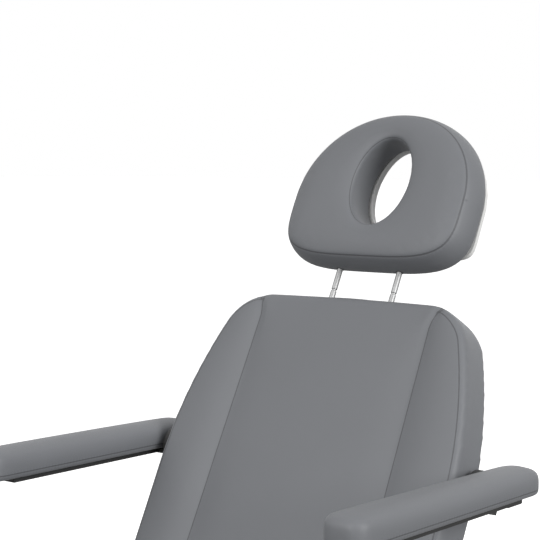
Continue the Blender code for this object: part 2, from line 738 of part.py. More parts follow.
def hang_lugs(obj, x, y, z, radius, root_z, root_half, gap, thickness):
    """Welds on two tapered plates that hang down and hold an eye between them on a pin at (y, z)."""
    outline = arc((y, z), radius, 180, 360, 8) + [(y + root_half, root_z), (y - root_half, root_z)]
    for sign in (-1, 1):
        ends = sorted((x + sign * gap, x + sign * (gap + thickness)))
        weld(obj, plate(outline, *ends))
    weld(obj, hinge_pin(x, y, z, gap, thickness))


def make_seat_frame():
    plate_width = COLUMN_WIDTH + 2 * HEAD_PLATE_MARGIN
    plate_depth = COLUMN_DEPTH + 2 * HEAD_PLATE_MARGIN
    loops = [rounded_rectangle(plate_width, plate_depth, COLUMN_CORNER, z)
             for z in (HEAD_PLATE_FOOT, HEAD_PLATE_FOOT + HEAD_PLATE_THICKNESS)]
    finish_object("head_plate", loft(loops), "white_paint")
    reach = RAIL_CENTRE_X + RAIL_WIDTH / 2
    for name, sign in (("front", -1), ("rear", 1)):
        middle = sign * BEAM_SPACING / 2
        low = (-reach, middle - BEAM_WIDTH / 2, BEAM_FOOT)
        high = (reach, middle + BEAM_WIDTH / 2, BEAM_FOOT + BEAM_HEIGHT)
        tube = hollow_beam(low, high, BEAM_WALL, 0)
        beam = finish_object(f"cross_beam_{name}", tube, "dark_paint", smooth=False)
        if sign < 0:
            for _, side in SIDES:
                hang_lugs(beam, side * GAS_X, GAS_Y, GAS_Z, GAS_LUG_RADIUS, BEAM_FOOT + BEAM_WALL / 2,
                          BEAM_LUG_ROOT, GAS_EYE_WIDTH / 2 + FORK_GAP, GAS_LUG)
    inner = RAIL_CENTRE_X - RAIL_WIDTH / 2 - SEAT_GAP
    half = BEAM_WIDTH / 2
    tube = hollow_beam((-inner, FRONT_TUBE_Y - half, RAIL_FOOT), (inner, FRONT_TUBE_Y + half, RAIL_TOP),
                       BEAM_WALL, 0)
    tube = finish_object("front_cross_tube", tube, "dark_paint", smooth=False)
    hang_lugs(tube, ACTUATOR_X, ACTUATOR_Y, ACTUATOR_Z, EYE_RADIUS + LUG_MARGIN, RAIL_FOOT + BEAM_WALL / 2,
              TUBE_LUG_ROOT, EYE_WIDTH / 2 + FORK_GAP, GAS_LUG)
    for name, side in SIDES:
        low_x, high_x = (side * RAIL_CENTRE_X + way * RAIL_WIDTH / 2 for way in (-1, 1))
        rail = hollow_beam((low_x, RAIL_FRONT_Y, RAIL_FOOT), (high_x, RAIL_REAR_Y, RAIL_TOP), BEAM_WALL, 1)
        finish_object(f"seat_rail_{name}", rail, "dark_paint", smooth=False)
        make_side_plate(name, side)
    make_shaft("back_axle", BACK_PIVOT, AXLE_RADIUS)
    make_shaft("leg_shaft", LEG_PIVOT, LEG_SHAFT_RADIUS)


def make_shaft(name, centre, radius):
    """A round shaft through both side plates, with a head outside each."""
    reach = SIDE_PLATE_X + SIDE_PLATE_THICKNESS + SEAT_GAP
    length = 2 * reach
    profile = [(-AXLE_HEAD, AXLE_HEAD_RADIUS), (0, AXLE_HEAD_RADIUS), (0, radius), (length, radius),
               (length, AXLE_HEAD_RADIUS), (length + AXLE_HEAD, AXLE_HEAD_RADIUS)]
    start = centre - Vector((reach, 0, 0))
    finish_object(name, turned(profile, start, start + Vector((1, 0, 0))), "zinc_steel")


def make_side_plate(name, side):
    """The laser-cut plate outside each rail: the leg shaft's ear in front, the back's hanging ear behind."""
    ear_y, ear_z = BACK_PIVOT_Y, BACK_PIVOT_Z
    dip_z = RAIL_FOOT - SIDE_PLATE_DIP
    corner = SIDE_PLATE_CORNER
    outline = arc((LEG_PIVOT_Y, LEG_PIVOT_Z), LEG_EAR_RADIUS, 270, 90, 8)
    outline += [(RAIL_REAR_Y, RAIL_TOP), (RAIL_REAR_Y + corner, RAIL_TOP - corner),
                (ear_y - EAR_RADIUS - SIDE_PLATE_NOTCH, RAIL_FOOT),
                (ear_y - EAR_RADIUS, ear_z - SIDE_PLATE_EAR_DROP)]
    outline += arc((ear_y, ear_z), EAR_RADIUS, 180, 0, 10)
    outline += arc((ear_y + EAR_RADIUS - corner, dip_z + corner), corner, 0, -90, 3)
    outline += [(RAIL_REAR_Y + corner, dip_z), (RAIL_REAR_Y - SIDE_PLATE_SLOPE, RAIL_FOOT)]
    low_x, high_x = sorted((side * SIDE_PLATE_X, side * (SIDE_PLATE_X + SIDE_PLATE_THICKNESS)))
    made = finish_object(f"side_plate_{name}", plate(outline, low_x, high_x), "white_paint")
    for centre, radius in ((BACK_PIVOT, AXLE_RADIUS), (LEG_PIVOT, LEG_SHAFT_RADIUS)):
        start = Vector((low_x - CUT_OVERRUN, centre.y, centre.z))
        end = Vector((high_x + CUT_OVERRUN, centre.y, centre.z))
        cut(made, rod(start, end, radius + RUN_GAP))


def make_seat():
    make_seat_frame()
    centre_y = (SEAT_PAD_FRONT_Y + SEAT_PAD_REAR_Y) / 2
    length = SEAT_PAD_REAR_Y - SEAT_PAD_FRONT_Y
    board_width, board_length = 2 * (SEAT_PAD_HALF_WIDTH - BOARD_INSET), length - 2 * BOARD_INSET
    loops = [rounded_rectangle(board_width, board_length, SEAT_REAR_CORNER, z, centre_y)
             for z in (BOARD_FOOT, BOARD_FOOT + SEAT_BOARD_THICKNESS)]
    finish_object("seat_board", loft(loops), "white_plastic")
    rows = pad_rows(SEAT_PAD_FRONT_Y, SEAT_PAD_REAR_Y, lambda y: SEAT_PAD_HALF_WIDTH, SEAT_FRONT_CORNER,
                    SEAT_REAR_CORNER, 6)
    bm = padded(rows, mirrored(SEAMED_COLUMNS), SEAT_PAD_THICKNESS, SEAT_CROWN, SIDE_DRAW, SEAM_GROOVE)
    bmesh.ops.translate(bm, vec=(0, 0, SEAT_PAD_FOOT), verts=bm.verts)
    finish_object("seat_pad", bm, "grey_leatherette")


# Back and headrest

def back_half_width(u):
    """Half width of the back pad at this height above its hinge: it flares from the shoulders down."""
    below = min(1.0, (PAD_TOP - u) / SHOULDER_DROP)
    return PAD_HALF_WIDTH - (PAD_HALF_WIDTH - SHOULDER_HALF_WIDTH) * (1 - below) ** 2


def make_back(back):
    rows = pad_rows(PAD_FOOT, PAD_TOP, back_half_width, PAD_FOOT_CORNER, PAD_TOP_CORNER, 9)
    bm = padded(rows, mirrored(SEAMED_COLUMNS), PAD_THICKNESS, PAD_CROWN, SIDE_DRAW, SEAM_GROOVE)
    pad = finish_object("back_pad", stand_up(bm, PAD_BACK), "grey_leatherette", back)
    for name, side in SIDES:
        x = side * POST_SPACING / 2
        top = Vector((x, -POST_PLANE, PAD_TOP))
        foot = Vector((x, -POST_PLANE, PAD_TOP - GUIDE_LENGTH))
        bore = POST_RADIUS + RUN_GAP
        shoulder = GUIDE_LENGTH - GUIDE_FLANGE
        profile = [(0, bore), (0, GUIDE_RADIUS), (shoulder, GUIDE_RADIUS), (shoulder, GUIDE_FLANGE_RADIUS),
                   (GUIDE_LENGTH - EDGE_BREAK, GUIDE_FLANGE_RADIUS),
                   (GUIDE_LENGTH, GUIDE_FLANGE_RADIUS - EDGE_BREAK), (GUIDE_LENGTH, bore)]
        guide = turned(profile, foot, top, True, SMALL_ROUND)
        finish_object(f"headrest_guide_{name}", guide, "black_plastic", back)
        socket = [(-SEAT_GAP, GUIDE_RADIUS + SEAT_GAP), (shoulder - SEAT_GAP, GUIDE_RADIUS + SEAT_GAP),
                  (shoulder - SEAT_GAP, GUIDE_FLANGE_RADIUS + SEAT_GAP),
                  (GUIDE_LENGTH + CUT_OVERRUN, GUIDE_FLANGE_RADIUS + SEAT_GAP)]
        cut(pad, turned(socket, foot, top, count=SMALL_ROUND), back)
    make_back_shell(back)
    make_back_frame(back)


def make_back_shell(back):
    """The white moulded panel behind the pad, with its edge drawn in and rounded."""
    low_n = PAD_BACK - SEAT_GAP
    rows = pad_rows(SHELL_FOOT, PAD_TOP - SHELL_INSET, lambda u: back_half_width(u) - SHELL_INSET,
                    SHELL_FOOT_CORNER, SHELL_TOP_CORNER, 6)
    outline = [Vector((half, 0, u)) for u, half in rows]
    outline += [Vector((-half, 0, u)) for u, half in reversed(rows)]
    middle = Vector((0, 0, (SHELL_FOOT + PAD_TOP) / 2))
    loops = []
    for share, inset in SHELL_SECTION:
        scale = 1 - inset / PAD_HALF_WIDTH
        depth = Vector((0, SHELL_THICKNESS * share - low_n, 0))
        loops.append([middle + (p - middle) * scale + depth for p in outline])
    finish_object("back_shell", loft(loops), "white_plastic", back)


def make_back_frame(back):
    """An upright on its own hinge sleeve at each side, and the cross tube behind them for the arms."""
    front = PAD_BACK - SHELL_THICKNESS - 2 * SEAT_GAP
    half = BACK_TUBE_WIDTH / 2
    for name, side in SIDES:
        ends = sorted((side * SLEEVE_INNER_X, side * (SIDE_PLATE_X - RUN_GAP)))
        start, end = (Vector((x, 0, 0)) for x in ends)
        frame = finish_object(f"back_upright_{name}", rod(start, end, BARREL_RADIUS), "dark_paint", back)
        weld(frame, box((side * BACK_TUBE_X - half, -front, 0.0),
                        (side * BACK_TUBE_X + half, -front + BACK_TUBE_DEPTH, BACK_TUBE_TOP)), back)
        if side * ACTUATOR_X > 0:
            weld_lever(frame, back)
        reach = Vector((CUT_OVERRUN, 0, 0))
        cut(frame, rod(start - reach, end + reach, AXLE_RADIUS + RUN_GAP), back)
    arm_u = arm_place()[1]
    span = ARM_MOUNT_X - SEAT_GAP
    near, far = cross_tube_span()
    tube = hollow_beam((-span, near, arm_u - half), (span, far, arm_u + half), BEAM_WALL, 0)
    finish_object("back_cross_tube", tube, "dark_paint", back, smooth=False)


def cross_tube_span():
    """Front and rear of the cross tube along the back's own Y, just behind the uprights."""
    near = BACK_TUBE_DEPTH - (PAD_BACK - SHELL_THICKNESS - 2 * SEAT_GAP) + SEAT_GAP
    return near, near + BACK_TUBE_DEPTH


def weld_lever(frame, back):
    """The forked lever that the actuator pushes, welded to the hinge sleeve."""
    angle = LEVER_MID
    tip = Vector((0, math.sin(angle), -math.cos(angle))) * LEVER_LENGTH
    across = Vector((0, math.cos(angle), math.sin(angle)))
    root = BARREL_RADIUS - SEAT_GAP
    outline = [across * root]
    for step in range(9):
        turn = math.pi / 2 - math.pi * step / 8
        outline.append(tip + (across * math.sin(turn) + tip.normalized() * math.cos(turn)) * LEVER_END_RADIUS)
    outline.append(-across * root)
    gap = EYE_WIDTH / 2 + FORK_GAP
    for sign in (-1, 1):
        ends = sorted((ACTUATOR_X + sign * gap, ACTUATOR_X + sign * (gap + LEVER_PLATE)))
        weld(frame, plate([(p.y, p.z) for p in outline], *ends), back)
    for head in pin_heads(ACTUATOR_X, tip.y, tip.z, gap, LEVER_PLATE):
        weld(frame, head, back)


def head_outline(side_inset=0.0, top_inset=None, foot_inset=None, chin_power=CHIN_POWER, count=40):
    """The headrest's outline: a wide round arch on a nearly straight, round-cornered lower edge."""
    half = HEAD_HALF_WIDTH - side_inset
    arch_reach = HEAD_HEIGHT * (1 - HEAD_WAIST) - (side_inset if top_inset is None else top_inset)
    chin_reach = HEAD_HEIGHT * HEAD_WAIST - (side_inset if foot_inset is None else foot_inset)
    waist = HEAD_FOOT + HEAD_HEIGHT * HEAD_WAIST
    points = []
    for i in range(count):
        angle = 2 * math.pi * (i + 0.5) / count
        c, s = math.cos(angle), math.sin(angle)
        power, reach = (ARCH_POWER, arch_reach) if s > 0 else (chin_power, chin_reach)
        x = half * math.copysign(abs(c) ** (2 / power), c)
        points.append(Vector((x, 0, waist + reach * math.copysign(abs(s) ** (2 / power), s))))
    return points


def hole_outline(grow=0.0, count=40):
    centre = HEAD_FOOT + HOLE_CENTRE
    points = []
    for i in range(count):
        angle = 2 * math.pi * (i + 0.5) / count
        points.append(Vector(((HOLE_HALF_WIDTH + grow) * math.cos(angle), 0,
                              centre + (HOLE_HALF_HEIGHT + grow) * math.sin(angle))))
    return points


def make_headrest(back):
    rear = PAD_FRONT - HEAD_THICKNESS
    edge = PAD_FRONT - HEAD_CROWN

    def at(points, n):
        return [Vector((p.x, -n, p.z)) for p in points]

    def between(share):
        return [a.lerp(b, share) for a, b in zip(head_outline(HEAD_EDGE_INSET), hole_outline())]

    def wall_inset(share):
        if share < HEAD_WIDEST_SHARE:
            return REAR_TUCK * (1 - share / HEAD_WIDEST_SHARE) ** 2
        return HEAD_EDGE_INSET * ((share - HEAD_WIDEST_SHARE) / (1 - HEAD_WIDEST_SHARE)) ** 2

    loops = [at(head_outline(wall_inset(share)), rear + (edge - rear) * share) for share in HEAD_WALL_SHARES]
    loops += [at(between(share), PAD_FRONT) for share in HEAD_FACE_SHARES]
    loops += [at(hole_outline(HOLE_LIP), PAD_FRONT - HOLE_LIP_BREAK),
              at(hole_outline(), PAD_FRONT - HOLE_LIP_DEPTH), at(hole_outline(), rear)]
    pad = finish_object("headrest_pad", loft(loops, ring=True), "grey_leatherette", back)
    behind = rear - SEAT_GAP
    far = behind - HEAD_BACKING

    def plate_outline(inset=0.0):
        insets = (HEAD_PLATE_SIDE_INSET, HEAD_PLATE_TOP_INSET, HEAD_PLATE_FOOT_INSET)
        return head_outline(*(inset + reach for reach in insets), HEAD_PLATE_CHIN_POWER)

    hole = hole_outline(HEAD_PLATE_HOLE_MARGIN)
    backing = [at(plate_outline(), behind), at(plate_outline(), far + HEAD_PLATE_BREAK),
               at(plate_outline(HEAD_PLATE_BREAK), far), at(hole, far), at(hole, behind)]
    finish_object("headrest_plate", loft(backing, ring=True), "white_plastic", back)
    for name, side in SIDES:
        x = side * POST_SPACING / 2
        foot = Vector((x, -POST_PLANE, PAD_TOP - POST_IN_BACK))
        top = Vector((x, -POST_PLANE, HEAD_FOOT + POST_IN_HEAD))
        finish_object(f"headrest_post_{name}", turned(post_profile(foot, top), foot, top, count=SMALL_ROUND),
                      "chrome", back)
        cut(pad, rod(foot, top + Vector((0, 0, SEAT_GAP)), POST_RADIUS + SEAT_GAP, SMALL_ROUND), back)


def post_profile(foot, top):
    """A round post with turned notches that the guide's catch drops into."""
    length = (top - foot).length
    first = HEAD_FOOT - NOTCH_FIRST - foot.z
    profile = [(0, POST_RADIUS - POST_FOOT_BREAK), (POST_FOOT_BREAK, POST_RADIUS)]
    core = POST_RADIUS - NOTCH_DEPTH
    for index in reversed(range(NOTCH_COUNT)):
        start = first - index * NOTCH_PITCH
        end = start + NOTCH_LENGTH
        profile += [(start, POST_RADIUS), (start + NOTCH_SLOPE, core)]
        profile += [(end - NOTCH_SLOPE, core), (end, POST_RADIUS)]
    return profile + [(length, POST_RADIUS)]


# Arms

def arm_place():
    """The arm's pivot in the back's own frame: (distance in front of the hinge axis, height above it)."""
    y, z = ARM_PIVOT_Y - BACK_PIVOT_Y, ARM_PIVOT_Z - BACK_PIVOT_Z
    sine, cosine = math.sin(BACK_RECLINE), math.cos(BACK_RECLINE)
    return -y * cosine + z * sine, y * sine + z * cosine


def make_arm(name, side, back):
    n, u = arm_place()
    half = BACK_TUBE_WIDTH / 2
    rear = cross_tube_span()[1]
    outline = [(rear, u + half), (rear, u - half)] + arc((-n, u), half, 270, 90, 8)
    inner, outer = ARM_MOUNT_X, ARM_MOUNT_X + ARM_MOUNT_THICKNESS
    mount = finish_object(f"arm_mount_{name}", plate(outline, *sorted((side * inner, side * outer))),
                          "black_plastic", back)
    ends = [Vector((side * x, -n, u)) for x in (inner - CUT_OVERRUN, outer + CUT_OVERRUN)]
    cut(mount, rod(*ends, ARM_PIN_RADIUS + SEAT_GAP, SMALL_ROUND), back)
    hub_inner = outer + RUN_GAP
    hub_outer = hub_inner + ARM_HUB_WIDTH
    head_end = hub_outer - inner - ARM_PIN_SUNK
    head_start = head_end - ARM_PIN_HEAD
    pin = [(0, ARM_PIN_RADIUS), (head_start, ARM_PIN_RADIUS), (head_start, ARM_PIN_HEAD_RADIUS),
           (head_end, ARM_PIN_HEAD_RADIUS)]
    start = Vector((side * inner, ARM_PIVOT_Y, ARM_PIVOT_Z))
    pin = turned(pin, start, start + Vector((side, 0, 0)), count=SMALL_ROUND)
    finish_object(f"arm_pin_{name}", pin, "zinc_steel")
    arm = pivot(f"arm_pivot_{name}", (0, ARM_PIVOT_Y, ARM_PIVOT_Z))
    pad_middle = hub_outer + SEAT_GAP + SIDE_SWELL + ARM_PAD_WIDTH / 2
    make_arm_bracket(name, side, arm, hub_inner, pad_middle)
    rows = pad_rows(ARM_PAD_FRONT_Y, ARM_PAD_REAR_Y, lambda y: ARM_PAD_WIDTH / 2, ARM_PAD_FRONT_CORNER,
                    ARM_PAD_REAR_CORNER, 6)
    bm = padded(rows, mirrored(ARM_COLUMNS), ARM_PAD_HEIGHT, ARM_PAD_CROWN, ARM_PAD_DRAW)
    place = (side * pad_middle, -ARM_PIVOT_Y, -ARM_PAD_DROP)
    bmesh.ops.translate(bm, vec=place, verts=bm.verts)
    finish_object(f"arm_pad_{name}", bm, "grey_leatherette", arm)


def make_arm_bracket(name, side, arm, hub_inner, pad_middle):
    """The hub that turns on the pin, with a web under the pad and the bar that carries it."""
    hub_outer = hub_inner + ARM_HUB_WIDTH
    profile = [(0, ARM_HUB_RADIUS - EDGE_BREAK), (EDGE_BREAK, ARM_HUB_RADIUS),
               (ARM_HUB_WIDTH - EDGE_BREAK, ARM_HUB_RADIUS), (ARM_HUB_WIDTH, ARM_HUB_RADIUS - EDGE_BREAK)]
    bracket = finish_object(f"arm_bracket_{name}", turned(profile, (side * hub_inner, 0, 0), (side, 0, 0)),
                            "black_plastic", arm)
    bar_top = -ARM_PAD_DROP - SEAT_GAP
    bar_foot = bar_top - ARM_BAR_THICKNESS
    near, far = pad_middle - ARM_BAR_WIDTH / 2, pad_middle + ARM_BAR_WIDTH / 2
    low_x, high_x = sorted((side * near, side * far))
    weld(bracket, box((low_x, ARM_BAR_FRONT_Y - ARM_PIVOT_Y, bar_foot), (high_x, ARM_BAR_TAIL, bar_top)), arm)
    low_x, high_x = sorted((side * (hub_inner + EDGE_BREAK), side * far))
    weld(bracket, box((low_x, -ARM_WEB_FRONT, bar_foot - ARM_WEB_STEP),
                      (high_x, ARM_WEB_REAR, bar_top - ARM_WEB_STEP)), arm)
    bore = [Vector((side * x, 0, 0)) for x in (hub_inner - CUT_OVERRUN, hub_outer + CUT_OVERRUN)]
    cut(bracket, rod(*bore, ARM_PIN_RADIUS + RUN_GAP, SMALL_ROUND), arm)
    sink_depth = ARM_PIN_SUNK + ARM_PIN_HEAD + RUN_GAP
    sink = [Vector((side * x, 0, 0)) for x in (hub_outer - sink_depth, hub_outer + CUT_OVERRUN)]
    cut(bracket, rod(*sink, ARM_PIN_HEAD_RADIUS + RUN_GAP, SMALL_ROUND), arm)


# Legs

def make_leg(name, side):
    leg = pivot(f"leg_pivot_{name}", LEG_PIVOT, LEG_DROP)
    x = side * LEG_CENTRE_X
    half = LEG_BARREL_LENGTH / 2
    ends = [Vector((x - half, 0, 0)), Vector((x + half, 0, 0))]
    arm = finish_object(f"leg_arm_{name}", rod(*ends, LEG_BARREL_RADIUS), "dark_paint", leg)
    width = LEG_TRAY_WIDTH / 2
    top = LEG_TRAY_FOOT + LEG_TRAY_THICKNESS
    weld(arm, box((x - width, -LEG_TRAY_END, LEG_TRAY_FOOT), (x + width, -WELD_SINK, top)), leg)
    gap = GAS_EYE_WIDTH / 2 + FORK_GAP
    outline = arc((-GAS_LEG_ALONG, -GAS_LEG_DROP), GAS_LUG_RADIUS, 180, 360, 8)
    outline += [(way * GAS_LUG_ROOT - GAS_LEG_ALONG, LEG_TRAY_FOOT + WELD_SINK) for way in (1, -1)]
    for sign in (-1, 1):
        low_x, high_x = sorted((side * GAS_X + sign * gap, side * GAS_X + sign * (gap + GAS_LUG)))
        weld(arm, plate(outline, low_x, high_x), leg)
    for head in pin_heads(side * GAS_X, -GAS_LEG_ALONG, -GAS_LEG_DROP, gap, GAS_LUG):
        weld(arm, head, leg)
    reach = Vector((CUT_OVERRUN, 0, 0))
    cut(arm, rod(ends[0] - reach, ends[1] + reach, LEG_SHAFT_RADIUS + RUN_GAP), leg)
    make_leg_carriage(name, side, leg)


def make_leg_carriage(name, side, leg):
    """Board, pad and clamping knob that slide out along the tray."""
    x = side * LEG_CENTRE_X
    end = LEG_PAD_START + LEG_PAD_LENGTH
    board_width = LEG_PAD_HALF_WIDTH - BOARD_INSET
    knee, toe = LEG_PAD_START + BOARD_INSET, end - BOARD_INSET
    corner_x, corner_y = board_width - LEG_BOARD_CORNER, toe - LEG_BOARD_CORNER
    outline = [(-board_width, knee), (board_width, knee)]
    outline += arc((corner_x, corner_y), LEG_BOARD_CORNER, 0, 90, 5)
    outline += arc((-corner_x, corner_y), LEG_BOARD_CORNER, 90, 180, 5)
    board = finish_object(f"leg_board_{name}", slab([(x + px, -py) for px, py in outline], LEG_BOARD_FOOT,
                                                    LEG_BOARD_FOOT + LEG_BOARD_THICKNESS),
                          "white_plastic", leg, smooth=False)
    inner = LEG_TRAY_WIDTH / 2 + RUN_GAP
    lip = LEG_TRAY_FOOT - RUN_GAP
    first, last = -LEG_TRAY_END + LEG_RUNNER_STOP, -LEG_PAD_START - LEG_RUNNER_START
    for sign in (-1, 1):
        low_x, high_x = sorted((x + sign * inner, x + sign * (inner + LEG_RUNNER_WIDTH)))
        weld(board, box((low_x, first, lip - LEG_LIP), (high_x, last, LEG_BOARD_FOOT + WELD_SINK)), leg)
        low_x, high_x = sorted((x + sign * (inner - LEG_LIP_REACH), x + sign * (inner + WELD_SINK)))
        weld(board, box((low_x, first, lip - LEG_LIP), (high_x, last, lip)), leg)
    rows = pad_rows(-end, -LEG_PAD_START, lambda y: LEG_PAD_HALF_WIDTH, LEG_TOE_CORNER, LEG_KNEE_CORNER, 6)
    bm = padded(rows, mirrored(PLAIN_COLUMNS), LEG_PAD_THICKNESS, LEG_PAD_CROWN, SIDE_DRAW)
    bmesh.ops.translate(bm, vec=(x, 0, LEG_PAD_FOOT), verts=bm.verts)
    finish_object(f"leg_pad_{name}", bm, "grey_leatherette", leg)
    face = x + side * (inner + LEG_RUNNER_WIDTH + SEAT_GAP)
    z = LEG_BOARD_FOOT - KNOB_RADIUS - RUN_GAP
    profile = [(KNOB_LENGTH * length, KNOB_RADIUS * radius) for length, radius in KNOB_SECTION]
    start = Vector((face, -KNOB_ALONG, z))
    finish_object(f"leg_knob_{name}", turned(profile, start, start + Vector((side, 0, 0)), count=SMALL_ROUND),
                  "black_plastic", leg)


# Actuator and gas springs

def lever_pin():
    """World place of the eye that the actuator's rod ends in."""
    angle = LEVER_MID - BACK_RECLINE
    lever = Vector((0, math.sin(angle), -math.cos(angle))) * LEVER_LENGTH
    return BACK_PIVOT + lever + Vector((ACTUATOR_X, 0, 0))


def eye(centre, radius, width, count=SMALL_ROUND):
    half = Vector((width / 2, 0, 0))
    return rod(centre - half, centre + half, radius, count)


def make_actuator():
    start = Vector((ACTUATOR_X, ACTUATOR_Y, ACTUATOR_Z))
    line = lever_pin() - start
    tilt = math.atan2(line.z, line.y)
    frame = pivot("actuator_pivot", start, tilt)
    half = GEARBOX_WIDTH / 2
    near = EYE_RADIUS + GEARBOX_OFFSET
    far = near + GEARBOX_LENGTH
    top = half * GEARBOX_SHOULDER
    outline = [(near, top), (far, top), (far, half - GEARBOX_HEIGHT), (near, half - GEARBOX_HEIGHT)]
    body = finish_object("back_actuator_body", plate(outline, -half, half), "black_plastic", frame)
    weld(body, eye(Vector((0, 0, 0)), EYE_RADIUS, EYE_WIDTH), frame)
    neck = EYE_RADIUS * EYE_NECK
    weld(body, box((-EYE_WIDTH / 2, 0, -neck), (EYE_WIDTH / 2, near + WELD_SINK, neck)), frame)
    weld(body, rod((0, far - WELD_SINK, 0), (0, ACTUATOR_TUBE_END, 0), ACTUATOR_TUBE_RADIUS), frame)
    drop = -MOTOR_DROP
    weld(body, rod((0, far - WELD_SINK, drop), (0, far + MOTOR_LENGTH, drop), MOTOR_RADIUS), frame)
    bore_end = ACTUATOR_TUBE_END + CUT_OVERRUN
    cut(body, rod((0, near + GEARBOX_WALL, 0), (0, bore_end, 0), ROD_RADIUS + RUN_GAP), frame)
    cut(body, eye(Vector((0, 0, 0)), HINGE_PIN_RADIUS + SEAT_GAP, 2 * EYE_WIDTH), frame)
    length = line.length
    rod_end = length - EYE_RADIUS / 2
    thrust = rod((0, length - ROD_LENGTH, 0), (0, rod_end, 0), ROD_RADIUS)
    thrust = finish_object("back_rod", thrust, "chrome", frame)
    weld(thrust, eye(Vector((0, length, 0)), EYE_RADIUS, EYE_WIDTH), frame)


def gas_leg_place():
    """World place of the gas spring's lower eye, before its X is set."""
    sine, cosine = math.sin(LEG_DROP), math.cos(LEG_DROP)
    return LEG_PIVOT + Vector((0, -GAS_LEG_ALONG * cosine + GAS_LEG_DROP * sine,
                               -GAS_LEG_ALONG * sine - GAS_LEG_DROP * cosine))


def make_gas_spring(name, side):
    start = Vector((side * GAS_X, GAS_Y, GAS_Z))
    end = gas_leg_place() + Vector((side * GAS_X, 0, 0))
    line = end - start
    frame = pivot(f"gas_pivot_{name}", start, math.atan2(-line.z, -line.y))
    length = line.length
    neck = GAS_EYE_RADIUS / 2
    shoulder = neck + GAS_NECK_LENGTH
    profile = [(neck, GAS_RADIUS / 2), (shoulder, GAS_RADIUS / 2), (shoulder + GAS_SHOULDER, GAS_RADIUS),
               (GAS_CYLINDER_END - GAS_END_BREAK, GAS_RADIUS), (GAS_CYLINDER_END, GAS_RADIUS - EDGE_BREAK)]
    along = Vector((0, -1, 0))
    cylinder = finish_object(f"gas_cylinder_{name}", turned(profile, (0, 0, 0), along, count=SMALL_ROUND),
                             "black_plastic", frame)
    weld(cylinder, eye(Vector((0, 0, 0)), GAS_EYE_RADIUS, GAS_EYE_WIDTH), frame)
    bore = [along * (neck + GAS_BORE_START), along * (GAS_CYLINDER_END + CUT_OVERRUN)]
    cut(cylinder, rod(*bore, GAS_ROD_RADIUS + RUN_GAP, SMALL_ROUND), frame)
    cut(cylinder, eye(Vector((0, 0, 0)), HINGE_PIN_RADIUS + SEAT_GAP, 2 * GAS_EYE_WIDTH), frame)
    inner, outer = along * (length - GAS_ROD_LENGTH), along * (length - GAS_EYE_RADIUS / 2)
    piston = finish_object(f"gas_rod_{name}", rod(inner, outer, GAS_ROD_RADIUS, SMALL_ROUND), "chrome", frame)
    weld(piston, eye(along * length, GAS_EYE_RADIUS, GAS_EYE_WIDTH), frame)


def main():
    clear_scene()
    make_materials()
    make_base()
    make_column()
    make_seat()
    back = pivot("back_pivot", BACK_PIVOT, -BACK_RECLINE)
    make_back(back)
    make_headrest(back)
    for name, side in SIDES:
        make_arm(name, side, back)
        make_leg(name, side)
        make_gas_spring(name, side)
    make_actuator()


main()
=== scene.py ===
"""Looks of the podiatry chair: leatherette cushions, moulded covers, powder coat, chrome, studio light."""
import json
import math

import bmesh
import bpy
import numpy as np
from mathutils import Matrix, Vector


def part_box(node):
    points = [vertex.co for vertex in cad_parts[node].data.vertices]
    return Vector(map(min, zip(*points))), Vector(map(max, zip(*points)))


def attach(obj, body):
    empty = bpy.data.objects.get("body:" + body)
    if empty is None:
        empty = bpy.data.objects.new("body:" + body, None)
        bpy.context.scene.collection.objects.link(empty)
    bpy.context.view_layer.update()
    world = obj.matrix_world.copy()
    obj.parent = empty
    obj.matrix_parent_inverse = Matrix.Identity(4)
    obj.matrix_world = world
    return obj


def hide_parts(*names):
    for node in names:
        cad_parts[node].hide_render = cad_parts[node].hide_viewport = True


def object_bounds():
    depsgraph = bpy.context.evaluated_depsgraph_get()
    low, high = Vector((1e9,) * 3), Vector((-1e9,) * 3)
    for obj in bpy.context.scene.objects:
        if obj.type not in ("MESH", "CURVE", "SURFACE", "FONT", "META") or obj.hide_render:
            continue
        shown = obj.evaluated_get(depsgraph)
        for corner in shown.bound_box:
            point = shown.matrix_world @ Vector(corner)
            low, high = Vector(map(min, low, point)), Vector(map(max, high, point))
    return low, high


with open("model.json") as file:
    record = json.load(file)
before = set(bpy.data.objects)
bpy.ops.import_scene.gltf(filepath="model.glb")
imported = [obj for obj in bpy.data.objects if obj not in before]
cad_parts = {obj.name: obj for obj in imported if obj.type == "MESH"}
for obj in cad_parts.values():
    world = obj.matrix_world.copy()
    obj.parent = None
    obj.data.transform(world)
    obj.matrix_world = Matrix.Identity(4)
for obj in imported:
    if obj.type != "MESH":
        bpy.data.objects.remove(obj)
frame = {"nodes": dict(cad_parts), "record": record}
cad_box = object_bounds()

# Camera of the photograph
CAMERA_PLACE = (1.6030, -1.7236, 1.3528)
CAMERA_AZIMUTH = math.radians(38.7346)
CAMERA_PITCH = math.radians(4.2324)
CAMERA_LENS_MM = 106.69
SENSOR_MM = 36.0

# Back cushion, in metres as all sizes here
BACK_HALF_WIDTH = 0.3015
BACK_SHOULDER = 0.226           # half width at the top
BACK_FLARE = 0.330              # length over which it widens
BACK_TOP_CORNER = 0.058
BACK_FOOT_CORNER = 0.045
BACK_TOP_ARCH = 0.0036          # the top edge rises to its middle
BACK_EDGE_RADIUS = 0.009
BACK_EDGE_SEAM_INSET = 0.010
BACK_SEAM_TOP = 0.176           # of the inner seams, from the middle line
BACK_SEAM_SPREAD = 0.017        # how far they move apart per metre down the back
BACK_SEAM_BEND = 0.010          # they turn outwards at the top
BACK_SEAM_BEND_LENGTH = 0.045
BACK_SEAM_DEPTH = 0.0025
BACK_EDGE_SEAM_START = 0.003    # the edge seam starts this far inside the inner seams
BOLSTER_RISE = 0.007
BOLSTER_SWELL = 0.026           # distance from the inner seam over which most of the rise comes
BOLSTER_FALL = 0.003            # how far it falls again towards the edge
